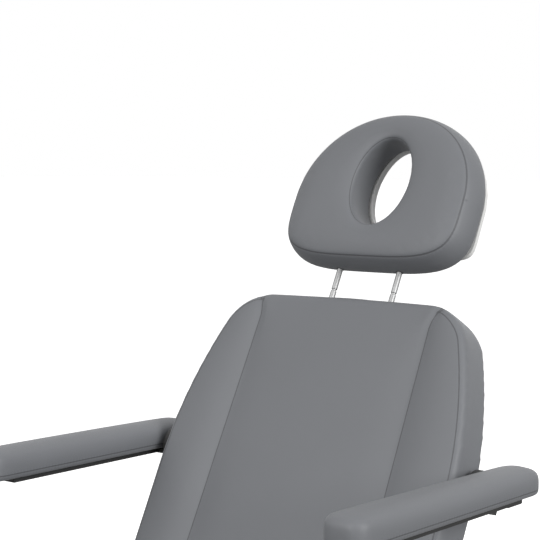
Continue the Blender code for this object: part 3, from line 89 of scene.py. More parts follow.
MIDDLE_SWELL = 0.002
MIDDLE_SWELL_WIDTH = 0.187      # from an inner seam to where the middle is highest
WELT_RISE = 0.0010
WELT_PLACE = 0.011              # inside the inner seam
WELT_WIDTH = 0.006
SHOULDER_SWELL = 0.002          # of the side wall towards the top
SHOULDER_SWELL_LENGTH = 0.12
TOP_ROLL = 0.004                # the face falls to the top edge
TOP_ROLL_LENGTH = 0.030

# Headrest cushion and its face hole
HEAD_HALF_WIDTH = 0.189
HEAD_HEIGHT = 0.2965
HEAD_WAIST = 0.41               # share of its height at which it is widest
HEAD_ARCH_POWER = 2.06          # of the rounded outline above the waist
HEAD_CHIN_POWER = 3.9           # and below it
HEAD_EDGE_INSET = 0.009         # of the front seam inside the widest outline
HEAD_EDGE_RADIUS = 0.005
HEAD_SEAM_SHARE = 0.6           # of the rounded edge's width at which the seam runs
HEAD_REAR_TUCK = 0.007
HEAD_REAR_ROUND = 0.004
HEAD_WIDEST_SHARE = 0.30        # of the wall's depth, from the rear
HEAD_FACE_RISE = 0.0075         # of the face above its front seam
HEAD_FACE_ROLL = 0.028          # width over which it rises
HEAD_MARGIN = 0.0005            # the face starts this far inside the plain pad's
HOLE_FRONT = (0.0575, 0.082, 0.1546)    # half width, half height, middle above the chin
HOLE_REAR = (0.0548, 0.082, 0.1600)
HOLE_REAR_ROUND = 0.003
HOLE_LIP = 0.006                # radius of the rounded edge
HOLE_SEAM_SHARE = 0.5           # of the lip's width at which the seam runs
HOLE_FALL = 0.0035              # the face rolls down to the hole
HOLE_FALL_WIDTH = 0.022
HOLE_SEAM_FINENESS = 2.2        # the hole's seam is this much thinner than the others

# Seat, leg and arm cushions
SEAT_FRONT_CORNER = 0.050
SEAT_REAR_CORNER = 0.030
SEAT_EDGE_RADIUS = 0.014
SEAT_SEAM = 0.187               # of the seams along the seat, from the middle line
SEAT_SEAM_DEPTH = 0.0025
SEAT_CROWN = 0.008
LEG_TOE_CORNER = 0.075
LEG_KNEE_CORNER = 0.030
LEG_EDGE_RADIUS = 0.012
LEG_CROWN = 0.007
LEG_SEAM_DEPTH = 0.0015
ARM_FRONT_CORNER = 0.027
ARM_REAR_CORNER = 0.034
ARM_EDGE_RADIUS = 0.016
ARM_CROWN = 0.004
ARM_REAR_FALL = 0.007           # the top slopes down towards the hinge
ARM_SEAM_HEIGHT = 0.010         # above the pad's foot

# Covers and their seams
PAD_MARGIN = 0.001              # the cover starts this far inside the plain pad's size
WALL_DRAW = 0.002               # most that a side wall draws in
REAR_EDGE = ((0.007, 0.0), (0.002, 0.0015), (0.0005, 0.005))    # inset and height of the turned-under cover
EDGE_SEAM_INSET = 0.008         # of the seat's and legs' seam inside their outline
SEAM_VALLEY_WIDTH = 0.007
SEAM_GRIP = 0.004               # half width that a seam holds while the cover swells
REAR_GRIP = 0.010               # height of a cover that is glued to the board behind it
FACING_GRIP = 0.012             # of the back's top and the headrest's chin, close when it is lowered
FACE_GAIN = 1.4                 # a vertex is all of the face where its normal's rise times this is 1
FACE_START = 0.05               # share of the face from which a seam shows
NO_SEAM = 0.5                   # seam distance stored where a cushion has no seam near

# Cloth
CLOTH_FRAMES = 20
CLOTH_PRESSURE = 4.0
CLOTH_QUALITY = 4
CLOTH_MASS = 0.3
CLOTH_STRETCH = 30.0
CLOTH_BEND = 2.0
PAD_STEP = 0.006                # between an outline's points
HEAD_STEP = 0.005
ARM_STEP = 0.004
HEAD_POINTS = 240               # worked out round the curves, before they are spaced evenly
HOLE_POINTS = 120
SPINE_MARGIN = 0.8              # the middle line stops this many half widths short of a pad's ends
PAD_VOXEL = 0.006
HEAD_VOXEL = 0.004
ARM_VOXEL = 0.005
SMOOTH_ROUNDS = 3
SMOOTH_FACTOR = 0.5
TINY = 1e-9                     # keeps a still vertex from a division by nothing
BACK_CAP = 0.004                # most that a cover may swell
HEAD_CAP = 0.003
SEAT_CAP = 0.006
LEG_CAP = 0.006
ARM_CAP = 0.003

# Fasteners and fittings
AWAY = 0.05                     # the line that seats a fastener starts this far off the surface
SCREW = 0.0055                  # head radius
SMALL_SCREW = 0.005
BOLT = 0.0075
FASTENER_SINK = 0.0004          # of its head into the piece that it holds
TURNING_POINTS = 24             # round a turned fitting
SHARP_ANGLE = math.radians(40)  # edges of fittings are sharp above this
SHELL_SCREW_X = 0.205
SHELL_SCREW_FOOT = 0.07
SHELL_SCREW_TOP = 0.09
PLATE_SCREWS = ((0.125, 0.030), (0.085, 0.045))     # x and distance from the plate's foot, then from its top
LEG_SCREWS = ((0.055, 0.035), (0.099, 0.025))       # from the board's middle and toe, then from its knee
PLATE_BOLT_FRONT = 0.05
PLATE_BOLT_REAR = 0.04
ARM_SCREW_FRONT = 0.10
ARM_SCREW_REAR = 0.16
INLET_PINS = ((0.0, 0.003), (-0.007, -0.002), (0.007, -0.002))     # x and z from the inlet's middle
PIN_SIZE = (0.002, 0.011, 0.004)
PIN_SINK = 0.0003
SLEEVE = ((-0.004, 0.0016), (0.0002, 0.0014), (0.0006, 0.0006), (0.0006, 0.0002))   # reach, wall

# Studio
WORLD_LIGHT = 0.30
FLOOR_SIZE = 60.0
FLOOR_COLOUR = 0.90             # as the camera sees it
FLOOR_BOUNCE = 0.13             # for the light that it throws up
FLOOR_LIFT = 0.85               # glow that makes it white for the camera
FLOOR_GLOSS = 0.28              # glow that metal and gloss see
LAMP_COLOUR = (1.0, 0.995, 0.985)
LAMPS = (("right", (7.8, -1.0, 3.7), 3.6, 465), ("front", (-0.6, -3.6, 2.8), 2.4, 86),
         ("top", (0.0, 0.2, 4.2), 2.5, 6), ("rear", (-0.5, 3.4, 1.4), 2.0, 32))     # name, place, size, watts
NO_GLEAM = ("rear",)            # lamps that gloss doesn't show, so that no gleam runs along the shoulders
CHEST = Vector((0.0, 0.3, 0.9))     # where the lamps point

joints = {joint["name"]: joint for joint in frame["record"]["behaviour"]["joints"]}
slot_of = {part["node"]: part["material_slot"] for part in frame["record"]["subparts"]}
ACROSS = Vector((1, 0, 0))
SIDES = (("left", 1), ("right", -1))
BATCH = 4000                    # points measured at a time


# Shader tools

class Value:
    """A socket. Arithmetic on it adds Math nodes."""

    def __init__(self, nodes, socket):
        self.nodes, self.socket = nodes, socket

    def math(self, operation, *values):
        return self.nodes.add("ShaderNodeMath", {"operation": operation}, dict(enumerate(values)))

    def __add__(self, other):
        return self.math("ADD", self, other)

    def __radd__(self, other):
        return self.math("ADD", other, self)

    def __sub__(self, other):
        return self.math("SUBTRACT", self, other)

    def __rsub__(self, other):
        return self.math("SUBTRACT", other, self)

    def __mul__(self, other):
        return self.math("MULTIPLY", self, other)

    def __rmul__(self, other):
        return self.math("MULTIPLY", other, self)

    def __abs__(self):
        return self.math("ABSOLUTE", self)

    def sine(self):
        return self.math("SINE", self)

    def below(self, limit, softness):
        """1 where this is under the limit, falling smoothly to 0 over the softness."""
        return self.nodes.add("ShaderNodeMapRange", {"interpolation_type": "SMOOTHSTEP"}, {
            "Value": self, "From Min": limit, "From Max": limit + softness, "To Min": 1.0, "To Max": 0.0})


class Nodes:
    """A node tree, with one method that adds any node."""

    def __init__(self, tree):
        self.tree = tree

    def add(self, kind, settings=None, inputs=None, output=0):
        """Adds any node: its settings first, then the values or links of its sockets."""
        node = self.tree.nodes.new(kind)
        for name, setting in (settings or {}).items():
            setattr(node, name, setting)
        for name, value in (inputs or {}).items():
            self.feed(node.inputs[name], value)
        return Value(self, node.outputs[output])

    def feed(self, socket, value):
        if isinstance(value, Value):
            self.tree.links.new(value.socket, socket)
        else:
            socket.default_value = value

    def mix(self, factor, first, second):
        """Two colours mixed. A Mix node's colour sockets have no names of their own."""
        return self.add("ShaderNodeMix", {"data_type": "RGBA"}, {0: factor, 6: first, 7: second}, output=2)

    def ray(self, kind):
        return self.add("ShaderNodeLightPath", output=f"Is {kind} Ray")


class Finish(Nodes):
    """One material."""

    def __init__(self, name):
        self.material = bpy.data.materials.new(name)
        self.material.use_nodes = True
        super().__init__(self.material.node_tree)
        self.shader = self.tree.nodes["Principled BSDF"]

    def set(self, **inputs):
        """Feeds the shader's own sockets, named with _ for each space."""
        for name, value in inputs.items():
            self.feed(self.shader.inputs[name.replace("_", " ")], value)

    def place(self):
        return self.add("ShaderNodeTexCoord", output="Object")

    def noise(self, scale, detail, roughness=0.5):
        return self.add("ShaderNodeTexNoise", None, {
            "Vector": self.place(), "Scale": scale, "Detail": detail, "Roughness": roughness})

    def cells(self, scale, feature="F1"):
        inputs = {"Vector": self.place(), "Scale": scale}
        return self.add("ShaderNodeTexVoronoi", {"feature": feature}, inputs)

    def attribute(self, name):
        return self.add("ShaderNodeAttribute", {"attribute_name": name}, output="Fac")

    def bump(self, height, depth, strength):
        normal = self.add("ShaderNodeBump", None, {"Height": height, "Distance": depth, "Strength": strength})
        self.set(Normal=normal)


def shade(level, tint=(1.0, 1.0, 1.0)):
    return (level * tint[0], level * tint[1], level * tint[2], 1.0)


# Finishes

LEATHERETTE_TINT = (0.955, 0.993, 1.070)
LEATHERETTE_LEVEL = 0.188


def leatherette():
    """Coated upholstery cloth: pebble grain, faint clouds, painted shade along the seams, puckers from the
    cushion's own map.
    """
    finish = Finish("grey_leatherette")
    seam = abs(finish.attribute("seam"))
    run = finish.attribute("run")
    clouds = finish.noise(9.0, 3.0)
    fine = finish.noise(260.0, 2.0)
    tone = clouds * 0.7 + fine * 0.3
    plain = finish.mix(tone, shade(LEATHERETTE_LEVEL * 0.95, LEATHERETTE_TINT),
                       shade(LEATHERETTE_LEVEL * 1.05, LEATHERETTE_TINT))
    # Painted shade: within about a millimetre of each seam the colour is mixed towards near black, standing
    # in for the shade in the seam's groove.
    line = seam.below(0.0005, 0.0009)
    finish.set(Base_Color=finish.mix(line * 0.62, plain, shade(0.05, LEATHERETTE_TINT)))
    finish.set(Roughness=0.44 + 0.12 * fine + 0.06 * clouds)
    pebble = finish.cells(850.0)
    creases = finish.cells(420.0, "DISTANCE_TO_EDGE")
    pucker = (run * 900.0).sine() * seam.below(0.001, 0.007)
    height = pebble * 0.30 + creases.below(0.0, 0.12) * -0.25 + pucker * 0.35 - line * 2.2
    finish.bump(height, 0.00035, 0.55)
    finish.set(IOR=1.46, Sheen_Weight=0.06, Sheen_Roughness=0.5)
    return finish.material


def moulded_white():
    """White moulded plastic with a faint orange peel and a little handling haze."""
    finish = Finish("white_plastic")
    haze = finish.noise(14.0, 4.0)
    grain = finish.noise(620.0, 2.0)
    finish.set(Base_Color=finish.mix(haze, shade(0.80, (1.0, 1.0, 0.985)), shade(0.86, (1.0, 1.0, 0.995))))
    finish.set(Roughness=0.30 + 0.10 * haze + 0.05 * grain)
    finish.bump(grain, 0.00012, 0.5)
    return finish.material


def powder_coat(name, level, tint, roughness):
    """Powder-coated steel: soft orange peel, slight tone shift, dust in broad patches."""
    finish = Finish(name)
    patches = finish.noise(11.0, 4.0)
    peel = finish.noise(420.0, 1.5)
    finish.set(Base_Color=finish.mix(patches, shade(level * 0.93, tint), shade(level * 1.07, tint)))
    finish.set(Roughness=roughness + 0.10 * patches + 0.08 * peel)
    finish.bump(peel, 0.0002, 0.6)
    return finish.material


def black_plastic():
    """Black moulded plastic with a spark-eroded grain."""
    finish = Finish("black_plastic")
    grain = finish.noise(900.0, 3.0, 0.6)
    wear = finish.noise(22.0, 4.0)
    finish.set(Base_Color=finish.mix(wear, shade(0.017), shade(0.027)))
    finish.set(Roughness=0.42 + 0.14 * grain + 0.06 * wear)
    finish.bump(grain, 0.00018, 0.7)
    return finish.material


def chrome():
    """Chromed steel with faint polishing lines and finger haze."""
    finish = Finish("chrome")
    haze = finish.noise(30.0, 4.0)
    drawn_out = finish.add("ShaderNodeMapping", None, {"Vector": finish.place(), "Scale": (1.0, 1.0, 0.04)})
    lines = finish.add("ShaderNodeTexNoise", None, {"Vector": drawn_out, "Scale": 1400.0, "Detail": 1.0})
    finish.set(Base_Color=finish.mix(haze, shade(0.72), shade(0.80, (0.99, 1.0, 1.01))))
    finish.set(Roughness=0.09 + 0.07 * haze + 0.04 * lines, Metallic=1.0)
    return finish.material


def satin_chrome():
    """Satin-chromed tube: fine blasted grain, faint handling marks."""
    finish = Finish("satin_chrome")
    marks = finish.noise(45.0, 3.0)
    grain = finish.noise(900.0, 2.0)
    finish.set(Base_Color=finish.mix(marks, shade(0.34), shade(0.42, (0.99, 1.0, 1.01))))
    finish.set(Roughness=0.48 + 0.06 * marks + 0.04 * grain, Metallic=1.0)
    return finish.material


def zinc_steel():
    """Zinc-plated steel: turned lines and a mottled, slightly bluish plate."""
    finish = Finish("zinc_steel")
    mottle = finish.noise(60.0, 4.0, 0.6)
    lines = finish.noise(800.0, 1.0)
    finish.set(Base_Color=finish.mix(mottle, shade(0.46, (0.98, 1.0, 1.03)), shade(0.60, (1.0, 1.0, 0.98))))
    finish.set(Roughness=0.28 + 0.16 * mottle + 0.05 * lines, Metallic=1.0)
    finish.bump(lines, 0.00008, 0.4)
    return finish.material


def foot_rubber():
    """Black rubber, matt, with a dusty bloom."""
    finish = Finish("rubber")
    bloom = finish.noise(40.0, 4.0)
    finish.set(Base_Color=finish.mix(bloom, shade(0.022), shade(0.042)))
    finish.set(Roughness=0.72 + 0.18 * bloom)
    finish.bump(finish.noise(700.0, 2.0), 0.0002, 0.6)
    return finish.material


def dress_nodes(finishes):
    """Gives each CAD node that stays in view the finish of its slot. The headrest's posts are satin."""
    for name, node in frame["nodes"].items():
        finish = finishes["satin_chrome" if name.startswith("headrest_post") else slot_of[name]]
        if not node.data.materials:
            node.data.materials.append(finish)
        for index in range(len(node.material_slots)):
            node.material_slots[index].material = finish


# Pad spaces: x across, y along the pad, z out of its face

def space(along, out, origin):
    columns = Matrix((ACROSS, along, out)).transposed().to_4x4()
    return Matrix.Translation(origin) @ columns


def back_space():
    along = Vector(joints["headrest_height"]["axis"]).normalized()
    return space(along, ACROSS.cross(along), Vector(joints["back_recline"]["pos_m"]))


def leg_space(side):
    along = -Vector(joints[f"leg_extension_{side}"]["axis"]).normalized()
    return space(along, ACROSS.cross(along), Vector(joints[f"leg_lift_{side}"]["pos_m"]))


def level_space():
    return space(Vector((0, 1, 0)), Vector((0, 0, 1)), Vector((0, 0, 0)))


def extent(node, pad_space):
    """Lowest and highest corners of a CAD node in a pad's space."""
    inverse = pad_space.inverted()
    mesh = frame["nodes"][node].data
    points = np.array([inverse @ (frame["nodes"][node].matrix_world @ vert.co) for vert in mesh.vertices])
    return Vector(points.min(axis=0)), Vector(points.max(axis=0))


# Outlines, anticlockwise, as (x, y)

def corner_trim(distance, corner):
    """How much a round corner narrows the half width, this far from the pad's end."""
    if distance >= corner:
        return 0.0
    return corner - math.sqrt(max(0.0, corner ** 2 - (corner - distance) ** 2))


def even_spaced(points, step):
    """The closed outline's points again, an even step apart."""
    closed = np.vstack([points, points[:1]])
    lengths = np.hypot(*np.diff(closed, axis=0).T)
    run = np.concatenate([[0.0], np.cumsum(lengths)])
    count = int(round(run[-1] / step))
    places = np.linspace(0.0, run[-1], count, endpoint=False)
    return np.column_stack([np.interp(places, run, closed[:, axis]) for axis in (0, 1)])


def pad_outline(start, end, half_width, start_corner, end_corner, step=PAD_STEP):
    """Outline of a pad that is symmetric about its middle line."""
    turn = 1 - np.cos(np.linspace(0.0, math.pi / 2, 11))
    low, high = start + start_corner * turn, end - end_corner * turn
    rows = [*low, *np.linspace(low[-1], high[-1], 24)[1:-1], *high[::-1]]
    right = []
    for y in rows:
        trim = corner_trim(y - start, start_corner) + corner_trim(end - y, end_corner)
        right.append((half_width(y) - trim, y))
    left = [(-x, y) for x, y in reversed(right)]
    return even_spaced(np.array(right + left), step)


def back_half_width(top):
    def half(y):
        below = min(1.0, (top - y) / BACK_FLARE)
        return BACK_HALF_WIDTH - (BACK_HALF_WIDTH - BACK_SHOULDER) * (1 - below) ** 2
    return half


def head_outline(chin):
    waist = chin + HEAD_HEIGHT * HEAD_WAIST
    points = []
    for angle in np.linspace(0.0, 2 * math.pi, HEAD_POINTS, endpoint=False):
        c, s = math.cos(angle), math.sin(angle)
        power = 2 / HEAD_ARCH_POWER if s > 0 else 2 / HEAD_CHIN_POWER
        reach = HEAD_HEIGHT * ((1 - HEAD_WAIST) if s > 0 else HEAD_WAIST)
        points.append((HEAD_HALF_WIDTH * math.copysign(abs(c) ** power, c),
                       waist + reach * math.copysign(abs(s) ** power, s)))
    return even_spaced(np.array(points), HEAD_STEP)


def hole_outline(chin, angles, depth=0.0):
    """The face hole at a share of the pad's depth. It draws in towards the plate behind the pad."""
    half_width, half_height, middle = (1 - depth) * np.array(HOLE_FRONT) + depth * np.array(HOLE_REAR)
    return np.column_stack([half_width * np.cos(angles), chin + middle + half_height * np.sin(angles)])


def inset(outline, distance):
    """The outline moved inwards. Negative moves it out."""
    run = np.roll(outline, -1, axis=0) - np.roll(outline, 1, axis=0)
    run /= np.linalg.norm(run, axis=1, keepdims=True)
    return outline + np.asarray(distance)[..., None] * np.column_stack([-run[:, 1], run[:, 0]])


def signed_distance(points, outline):
    """Distance of each (x, y) from a closed outline, positive inside, and the place along it."""
    start, end = outline, np.roll(outline, -1, axis=0)
    step = end - start
    square = (step ** 2).sum(axis=1)
    lengths = np.concatenate([[0.0], np.cumsum(np.sqrt(square))[:-1]])
    distance, run = np.empty(len(points)), np.empty(len(points))
    for first in range(0, len(points), BATCH):
        batch = slice(first, first + BATCH)
        part = points[batch, None, :] - start[None]
        share = np.clip((part * step).sum(axis=2) / square, 0.0, 1.0)
        gap = np.linalg.norm(part - share[..., None] * step, axis=2)
        nearest = gap.argmin(axis=1)
        rows = np.arange(len(nearest))
        side = step[nearest, 0] * part[rows, nearest, 1] - step[nearest, 1] * part[rows, nearest, 0]
        distance[batch] = np.copysign(gap[rows, nearest], side)
        run[batch] = lengths[nearest] + share[rows, nearest] * np.sqrt(square[nearest])
    return distance, run


# Cushion forms

def loft(loops, ring=False):
    bm = bmesh.new()
    rows = [[bm.verts.new(point) for point in loop] for loop in loops]
    pairs = list(zip(rows, rows[1:])) + ([(rows[-1], rows[0])] if ring else [])
    for low, high in pairs:
        for i, vert in enumerate(low):
            j = (i + 1) % len(low)
            bm.faces.new((vert, low[j], high[j], high[i]))
    if not ring:
        bm.faces.new(rows[0])
        bm.faces.new(rows[-1])
    bmesh.ops.recalc_face_normals(bm, faces=bm.faces)
    mesh = bpy.data.meshes.new("cushion")
    bm.to_mesh(mesh)
    bm.free()
    return mesh


def level_loop(outline, z):
    return [(x, y, z) for x, y in outline]


def wall_loops(outline, foot, edge, radius, draw):
    """Loops from the flat rear up the drawn-in side and over the rounded front edge."""
    loops = [level_loop(inset(outline, pull), foot + rise) for pull, rise in REAR_EDGE]
    start = foot + REAR_EDGE[-1][1]
    for share in (0.25, 0.5, 0.75):
        pull = draw * math.sin(math.pi * share)
        loops.append(level_loop(inset(outline, pull), start + (edge - radius - start) * share))
    for turn in np.linspace(0.0, math.pi / 2, 6):
        pull = radius * (1 - math.cos(turn))
        loops.append(level_loop(inset(outline, pull), edge - radius * (1 - math.sin(turn))))
    return loops


def swelled_wall(outline, foot, edge):
    """Loops up a wall that swells between the rear edge and the front edge's seam."""
    loops = [level_loop(inset(outline, HEAD_REAR_TUCK + HEAD_REAR_ROUND), foot)]
    for share in np.linspace(0.02, 1.0, 14):
        if share < HEAD_WIDEST_SHARE:
            pull = HEAD_REAR_TUCK * (1 - share / HEAD_WIDEST_SHARE) ** 2
        else:
            pull = HEAD_EDGE_INSET * ((share - HEAD_WIDEST_SHARE) / (1 - HEAD_WIDEST_SHARE)) ** 2
        loops.append(level_loop(inset(outline, pull), foot + (edge - HEAD_EDGE_RADIUS - foot) * share))
    for out, fall in ((0.5, 0.25), (1.0, 0.0)):
        rim = inset(outline, HEAD_EDGE_INSET + HEAD_EDGE_RADIUS * out)
        loops.append(level_loop(rim, edge - HEAD_EDGE_RADIUS * fall))
    return loops


def closed_pad(loops, edge, crown):
    """A solid pad: its wall, then its face in shrinking loops towards its middle line."""
    rim = np.array([point[:2] for point in loops[-1]])
    low, high = rim[:, 1].min(), rim[:, 1].max()
    half = np.abs(rim[:, 0]).max()
    end = half * SPINE_MARGIN
    spine = np.column_stack([np.zeros(len(rim)), np.clip(rim[:, 1], low + end, high - end)])
    if high - low < 2 * half:
        spine[:, 1] = (low + high) / 2
    for share in (0.12, 0.26, 0.42, 0.6, 0.78, 0.95):
        flat = rim + (spine - rim) * share
        loops.append(level_loop(flat, edge + crown * (1 - (1 - share) ** 2)))
    return loft(loops)


def holed_pad(loops, chin, foot, top):
    """A pad with a hole right through: its wall, a flat face, a rounded lip and the hole's own wall."""
    rim = np.array([point[:2] for point in loops[-1]])
    angles = np.arctan2(rim[:, 1] - chin - HOLE_FRONT[2], rim[:, 0])
    front, rear = hole_outline(chin, angles), hole_outline(chin, angles, 1.0)
    brink = inset(front, -HOLE_LIP)
    for share in (0.15, 0.35, 0.6, 0.85):
        loops.append(level_loop(rim + (brink - rim) * share, top))
    for turn in np.linspace(0.0, math.pi / 2, 6):
        lip = inset(front, -HOLE_LIP * (1 - math.sin(turn)))
        loops.append(level_loop(lip, top - HOLE_LIP * (1 - math.cos(turn))))
    for depth in (0.2, 0.4, 0.6, 0.8, 1.0):
        wall = foot + HOLE_REAR_ROUND + (top - HOLE_LIP - foot - HOLE_REAR_ROUND) * (1 - depth)
        loops.append(level_loop(hole_outline(chin, angles, depth), wall))
    for turn in np.linspace(0.0, math.pi / 2, 6)[1:]:
        grow = HOLE_REAR_ROUND * (1 - math.cos(turn))
        loops.append(level_loop(inset(rear, -grow), foot + HOLE_REAR_ROUND * (1 - math.sin(turn))))
    return loft(loops, ring=True)


# Upholstery

def remeshed(mesh, voxel):
    """The same form in even faces."""
    obj = bpy.data.objects.new("form", mesh)
    bpy.context.scene.collection.objects.link(obj)
    modifier = obj.modifiers.new("even", "REMESH")
    modifier.mode = "VOXEL"
    modifier.voxel_size = voxel
    result = bpy.data.meshes.new_from_object(obj.evaluated_get(bpy.context.evaluated_depsgraph_get()))
    bpy.data.objects.remove(obj)
    return result


def coordinates(mesh):
    points = np.empty(len(mesh.vertices) * 3)
    mesh.vertices.foreach_get("co", points)
    return points.reshape(-1, 3)


def move_to(mesh, points):
    mesh.vertices.foreach_set("co", points.ravel())
    mesh.update()


def smoothed(mesh):
    bm = bmesh.new()
    bm.from_mesh(mesh)
    for _ in range(SMOOTH_ROUNDS):
        bmesh.ops.smooth_vert(bm, verts=bm.verts, factor=SMOOTH_FACTOR,
                              use_axis_x=True, use_axis_y=True, use_axis_z=True)
    bm.to_mesh(mesh)
    bm.free()


def inflate(mesh, held, cap):
    """Swells the cover over its foam with cloth pressure, held at its seams and rear, up to the cap."""
    obj = bpy.data.objects.new("swelling", mesh)
    bpy.context.scene.collection.objects.link(obj)
    before = coordinates(mesh)
    group = obj.vertex_groups.new(name="held")
    group.add([int(i) for i in np.nonzero(held)[0]], 1.0, "REPLACE")
    cloth = obj.modifiers.new("swell", "CLOTH")
    cloth.settings.quality = CLOTH_QUALITY
    cloth.settings.mass = CLOTH_MASS
    cloth.settings.tension_stiffness = CLOTH_STRETCH
    cloth.settings.compression_stiffness = CLOTH_STRETCH
    cloth.settings.bending_stiffness = CLOTH_BEND
    cloth.settings.use_pressure = True
    cloth.settings.uniform_pressure_force = CLOTH_PRESSURE
    cloth.settings.vertex_group_mass = "held"
    cloth.settings.effector_weights.gravity = 0.0
    cloth.collision_settings.use_collision = False
    cloth.point_cache.frame_start = 1
    cloth.point_cache.frame_end = CLOTH_FRAMES
    scene = bpy.context.scene
    for number in range(1, CLOTH_FRAMES + 1):
        scene.frame_set(number)
    swollen = obj.evaluated_get(bpy.context.evaluated_depsgraph_get())
    shift = coordinates(swollen.data) - before
    length = np.linalg.norm(shift, axis=1, keepdims=True)
    shift *= np.tanh(length / cap) * cap / np.maximum(length, TINY)
    move_to(mesh, before + shift)
    obj.vertex_groups.clear()
    bpy.data.objects.remove(obj)
    scene.frame_set(1)


def shape_face(mesh, rise):
    """Lifts the front face by a height for each vertex. The walls stay."""
    points = coordinates(mesh)
    points[:, 2] += rise * facing_front(mesh)
    move_to(mesh, points)


def facing_front(mesh):
    """How far each vertex faces out of the pad's front, from 0 to 1."""
    normals = np.empty(len(mesh.vertices) * 3)
    mesh.vertices.foreach_get("normal", normals)
    return np.clip(normals.reshape(-1, 3)[:, 2] * FACE_GAIN, 0.0, 1.0)


def draw_seams(mesh, gap, run):
    """Stores each vertex's distance from its nearest seam and its place along it, for the finish."""
    for name, values in (("seam", gap), ("run", run)):
        attribute = mesh.attributes.new(name, "FLOAT", "POINT")
        attribute.data.foreach_set("value", values.astype(np.float32))


def valley(gap, width, depth):
    """How far a seam draws the cover down at this distance from it."""
    return -depth * np.exp(-(gap / width) ** 2)


def smooth_step(share):
    share = np.clip(share, 0.0, 1.0)
    return share * share * (3 - 2 * share)


def upholster(name, node, body, mesh, pad_space, finish):
    """Puts a finished cover in place of a CAD pad."""
    mesh.transform(pad_space)
    mesh.shade_smooth()
    obj = bpy.data.objects.new(name, mesh)
    bpy.context.scene.collection.objects.link(obj)
    mesh.materials.append(finish)
    modifier = obj.modifiers.new("fine", "SUBSURF")
    modifier.levels = modifier.render_levels = 1
    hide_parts(node)
    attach(obj, body)


def edge_seam(points, outline, depth):
    """Signed distance from the seam just inside the outline, and the place along it."""
    return signed_distance(points[:, :2], inset(outline, depth))


def on_face(mesh, seam):
    """A seam kept to the front of the pad."""
    gap, run = seam
    return np.where(facing_front(mesh) > FACE_START, gap, NO_SEAM), run


def nearest_seam(*seams):
    """The nearer of several seams at each vertex."""
    gaps = np.array([gap for gap, _ in seams])
    runs = np.array([run for _, run in seams])
    pick = np.abs(gaps).argmin(axis=0)
    columns = np.arange(gaps.shape[1])
    return gaps[pick, columns], runs[pick, columns]


def held_at(mesh, foot, gap):
    """Vertices that the cloth can't move: the rear, glued to its board, and the seams."""
    return (coordinates(mesh)[:, 2] < foot + REAR_GRIP) | (np.abs(gap) < SEAM_GRIP)


def back_seams(points, outline, top):
    """Distance outside the inner seams, then the inner seams and the edge seam themselves."""
    bend = BACK_SEAM_BEND * smooth_step(1 - (top - points[:, 1]) / BACK_SEAM_BEND_LENGTH)
    seam_x = BACK_SEAM_TOP + BACK_SEAM_SPREAD * (top - points[:, 1]) + bend
    outside = np.abs(points[:, 0]) - seam_x
    gap, run = edge_seam(points, outline, BACK_EDGE_SEAM_INSET)
    gap = np.where(outside > -BACK_EDGE_SEAM_START, gap, NO_SEAM)
    return outside, (outside, points[:, 1]), (gap, run)


def back_face(points, outside, top):
    """Heights of the back's face: raised bolsters, welts beside the inner seams, a rolled top."""
    half = np.vectorize(back_half_width(top))(points[:, 1])
    width = half + outside - np.abs(points[:, 0])
    share = np.clip(outside / width, 0.0, 1.0)
    rise = BOLSTER_RISE * (1 - np.exp(-np.maximum(outside, 0.0) / BOLSTER_SWELL)) - BOLSTER_FALL * share ** 3
    middle = MIDDLE_SWELL * smooth_step(-outside / MIDDLE_SWELL_WIDTH)
    face = np.where(outside > 0, rise, middle) - BOLSTER_RISE + BOLSTER_FALL
    welt = WELT_RISE * np.exp(-((outside + WELT_PLACE) / WELT_WIDTH) ** 2)
    roll = -TOP_ROLL * np.clip(1 - (top - points[:, 1]) / TOP_ROLL_LENGTH, 0, 1) ** 2
    return face + welt + roll + valley(outside, SEAM_VALLEY_WIDTH, BACK_SEAM_DEPTH)


def make_back_cushion(finish):
    pad_space = back_space()
    low, high = extent("back_pad", pad_space)
    top = high.y - PAD_MARGIN
    outline = pad_outline(low.y + PAD_MARGIN, top, back_half_width(top), BACK_FOOT_CORNER, BACK_TOP_CORNER)
    outline[:, 1] += BACK_TOP_ARCH * smooth_step((outline[:, 1] - top) / BACK_TOP_CORNER + 1) * (
        1 - (outline[:, 0] / BACK_SHOULDER) ** 2)
    swell = SHOULDER_SWELL * smooth_step((outline[:, 1] - top) / SHOULDER_SWELL_LENGTH + 1)
    front = high.z - PAD_MARGIN
    wall = wall_loops(outline, low.z, front, BACK_EDGE_RADIUS, WALL_DRAW - swell)
    mesh = remeshed(closed_pad(wall, front, 0.0), PAD_VOXEL)
    smoothed(mesh)
    points = coordinates(mesh)
    outside, inner, edge = back_seams(points, outline, top)
    shape_face(mesh, back_face(points, outside, top))
    seams = nearest_seam(on_face(mesh, inner), on_face(mesh, edge))
    facing = points[:, 1] > top - FACING_GRIP
    inflate(mesh, held_at(mesh, low.z, seams[0]) | facing, BACK_CAP)
    draw_seams(mesh, *seams)
    upholster("back_cushion", "back_pad", "back", mesh, pad_space, finish)


def head_face(inside, beyond):
    """Heights of the headrest's face: it rises from its outer seam and rolls down again to the hole."""
    rise = HEAD_FACE_RISE * (1 - (1 - np.clip(inside / HEAD_FACE_ROLL, 0.0, 1.0)) ** 2)
    return rise - HOLE_FALL * (1 - np.clip(beyond / HOLE_FALL_WIDTH, 0.0, 1.0)) ** 2


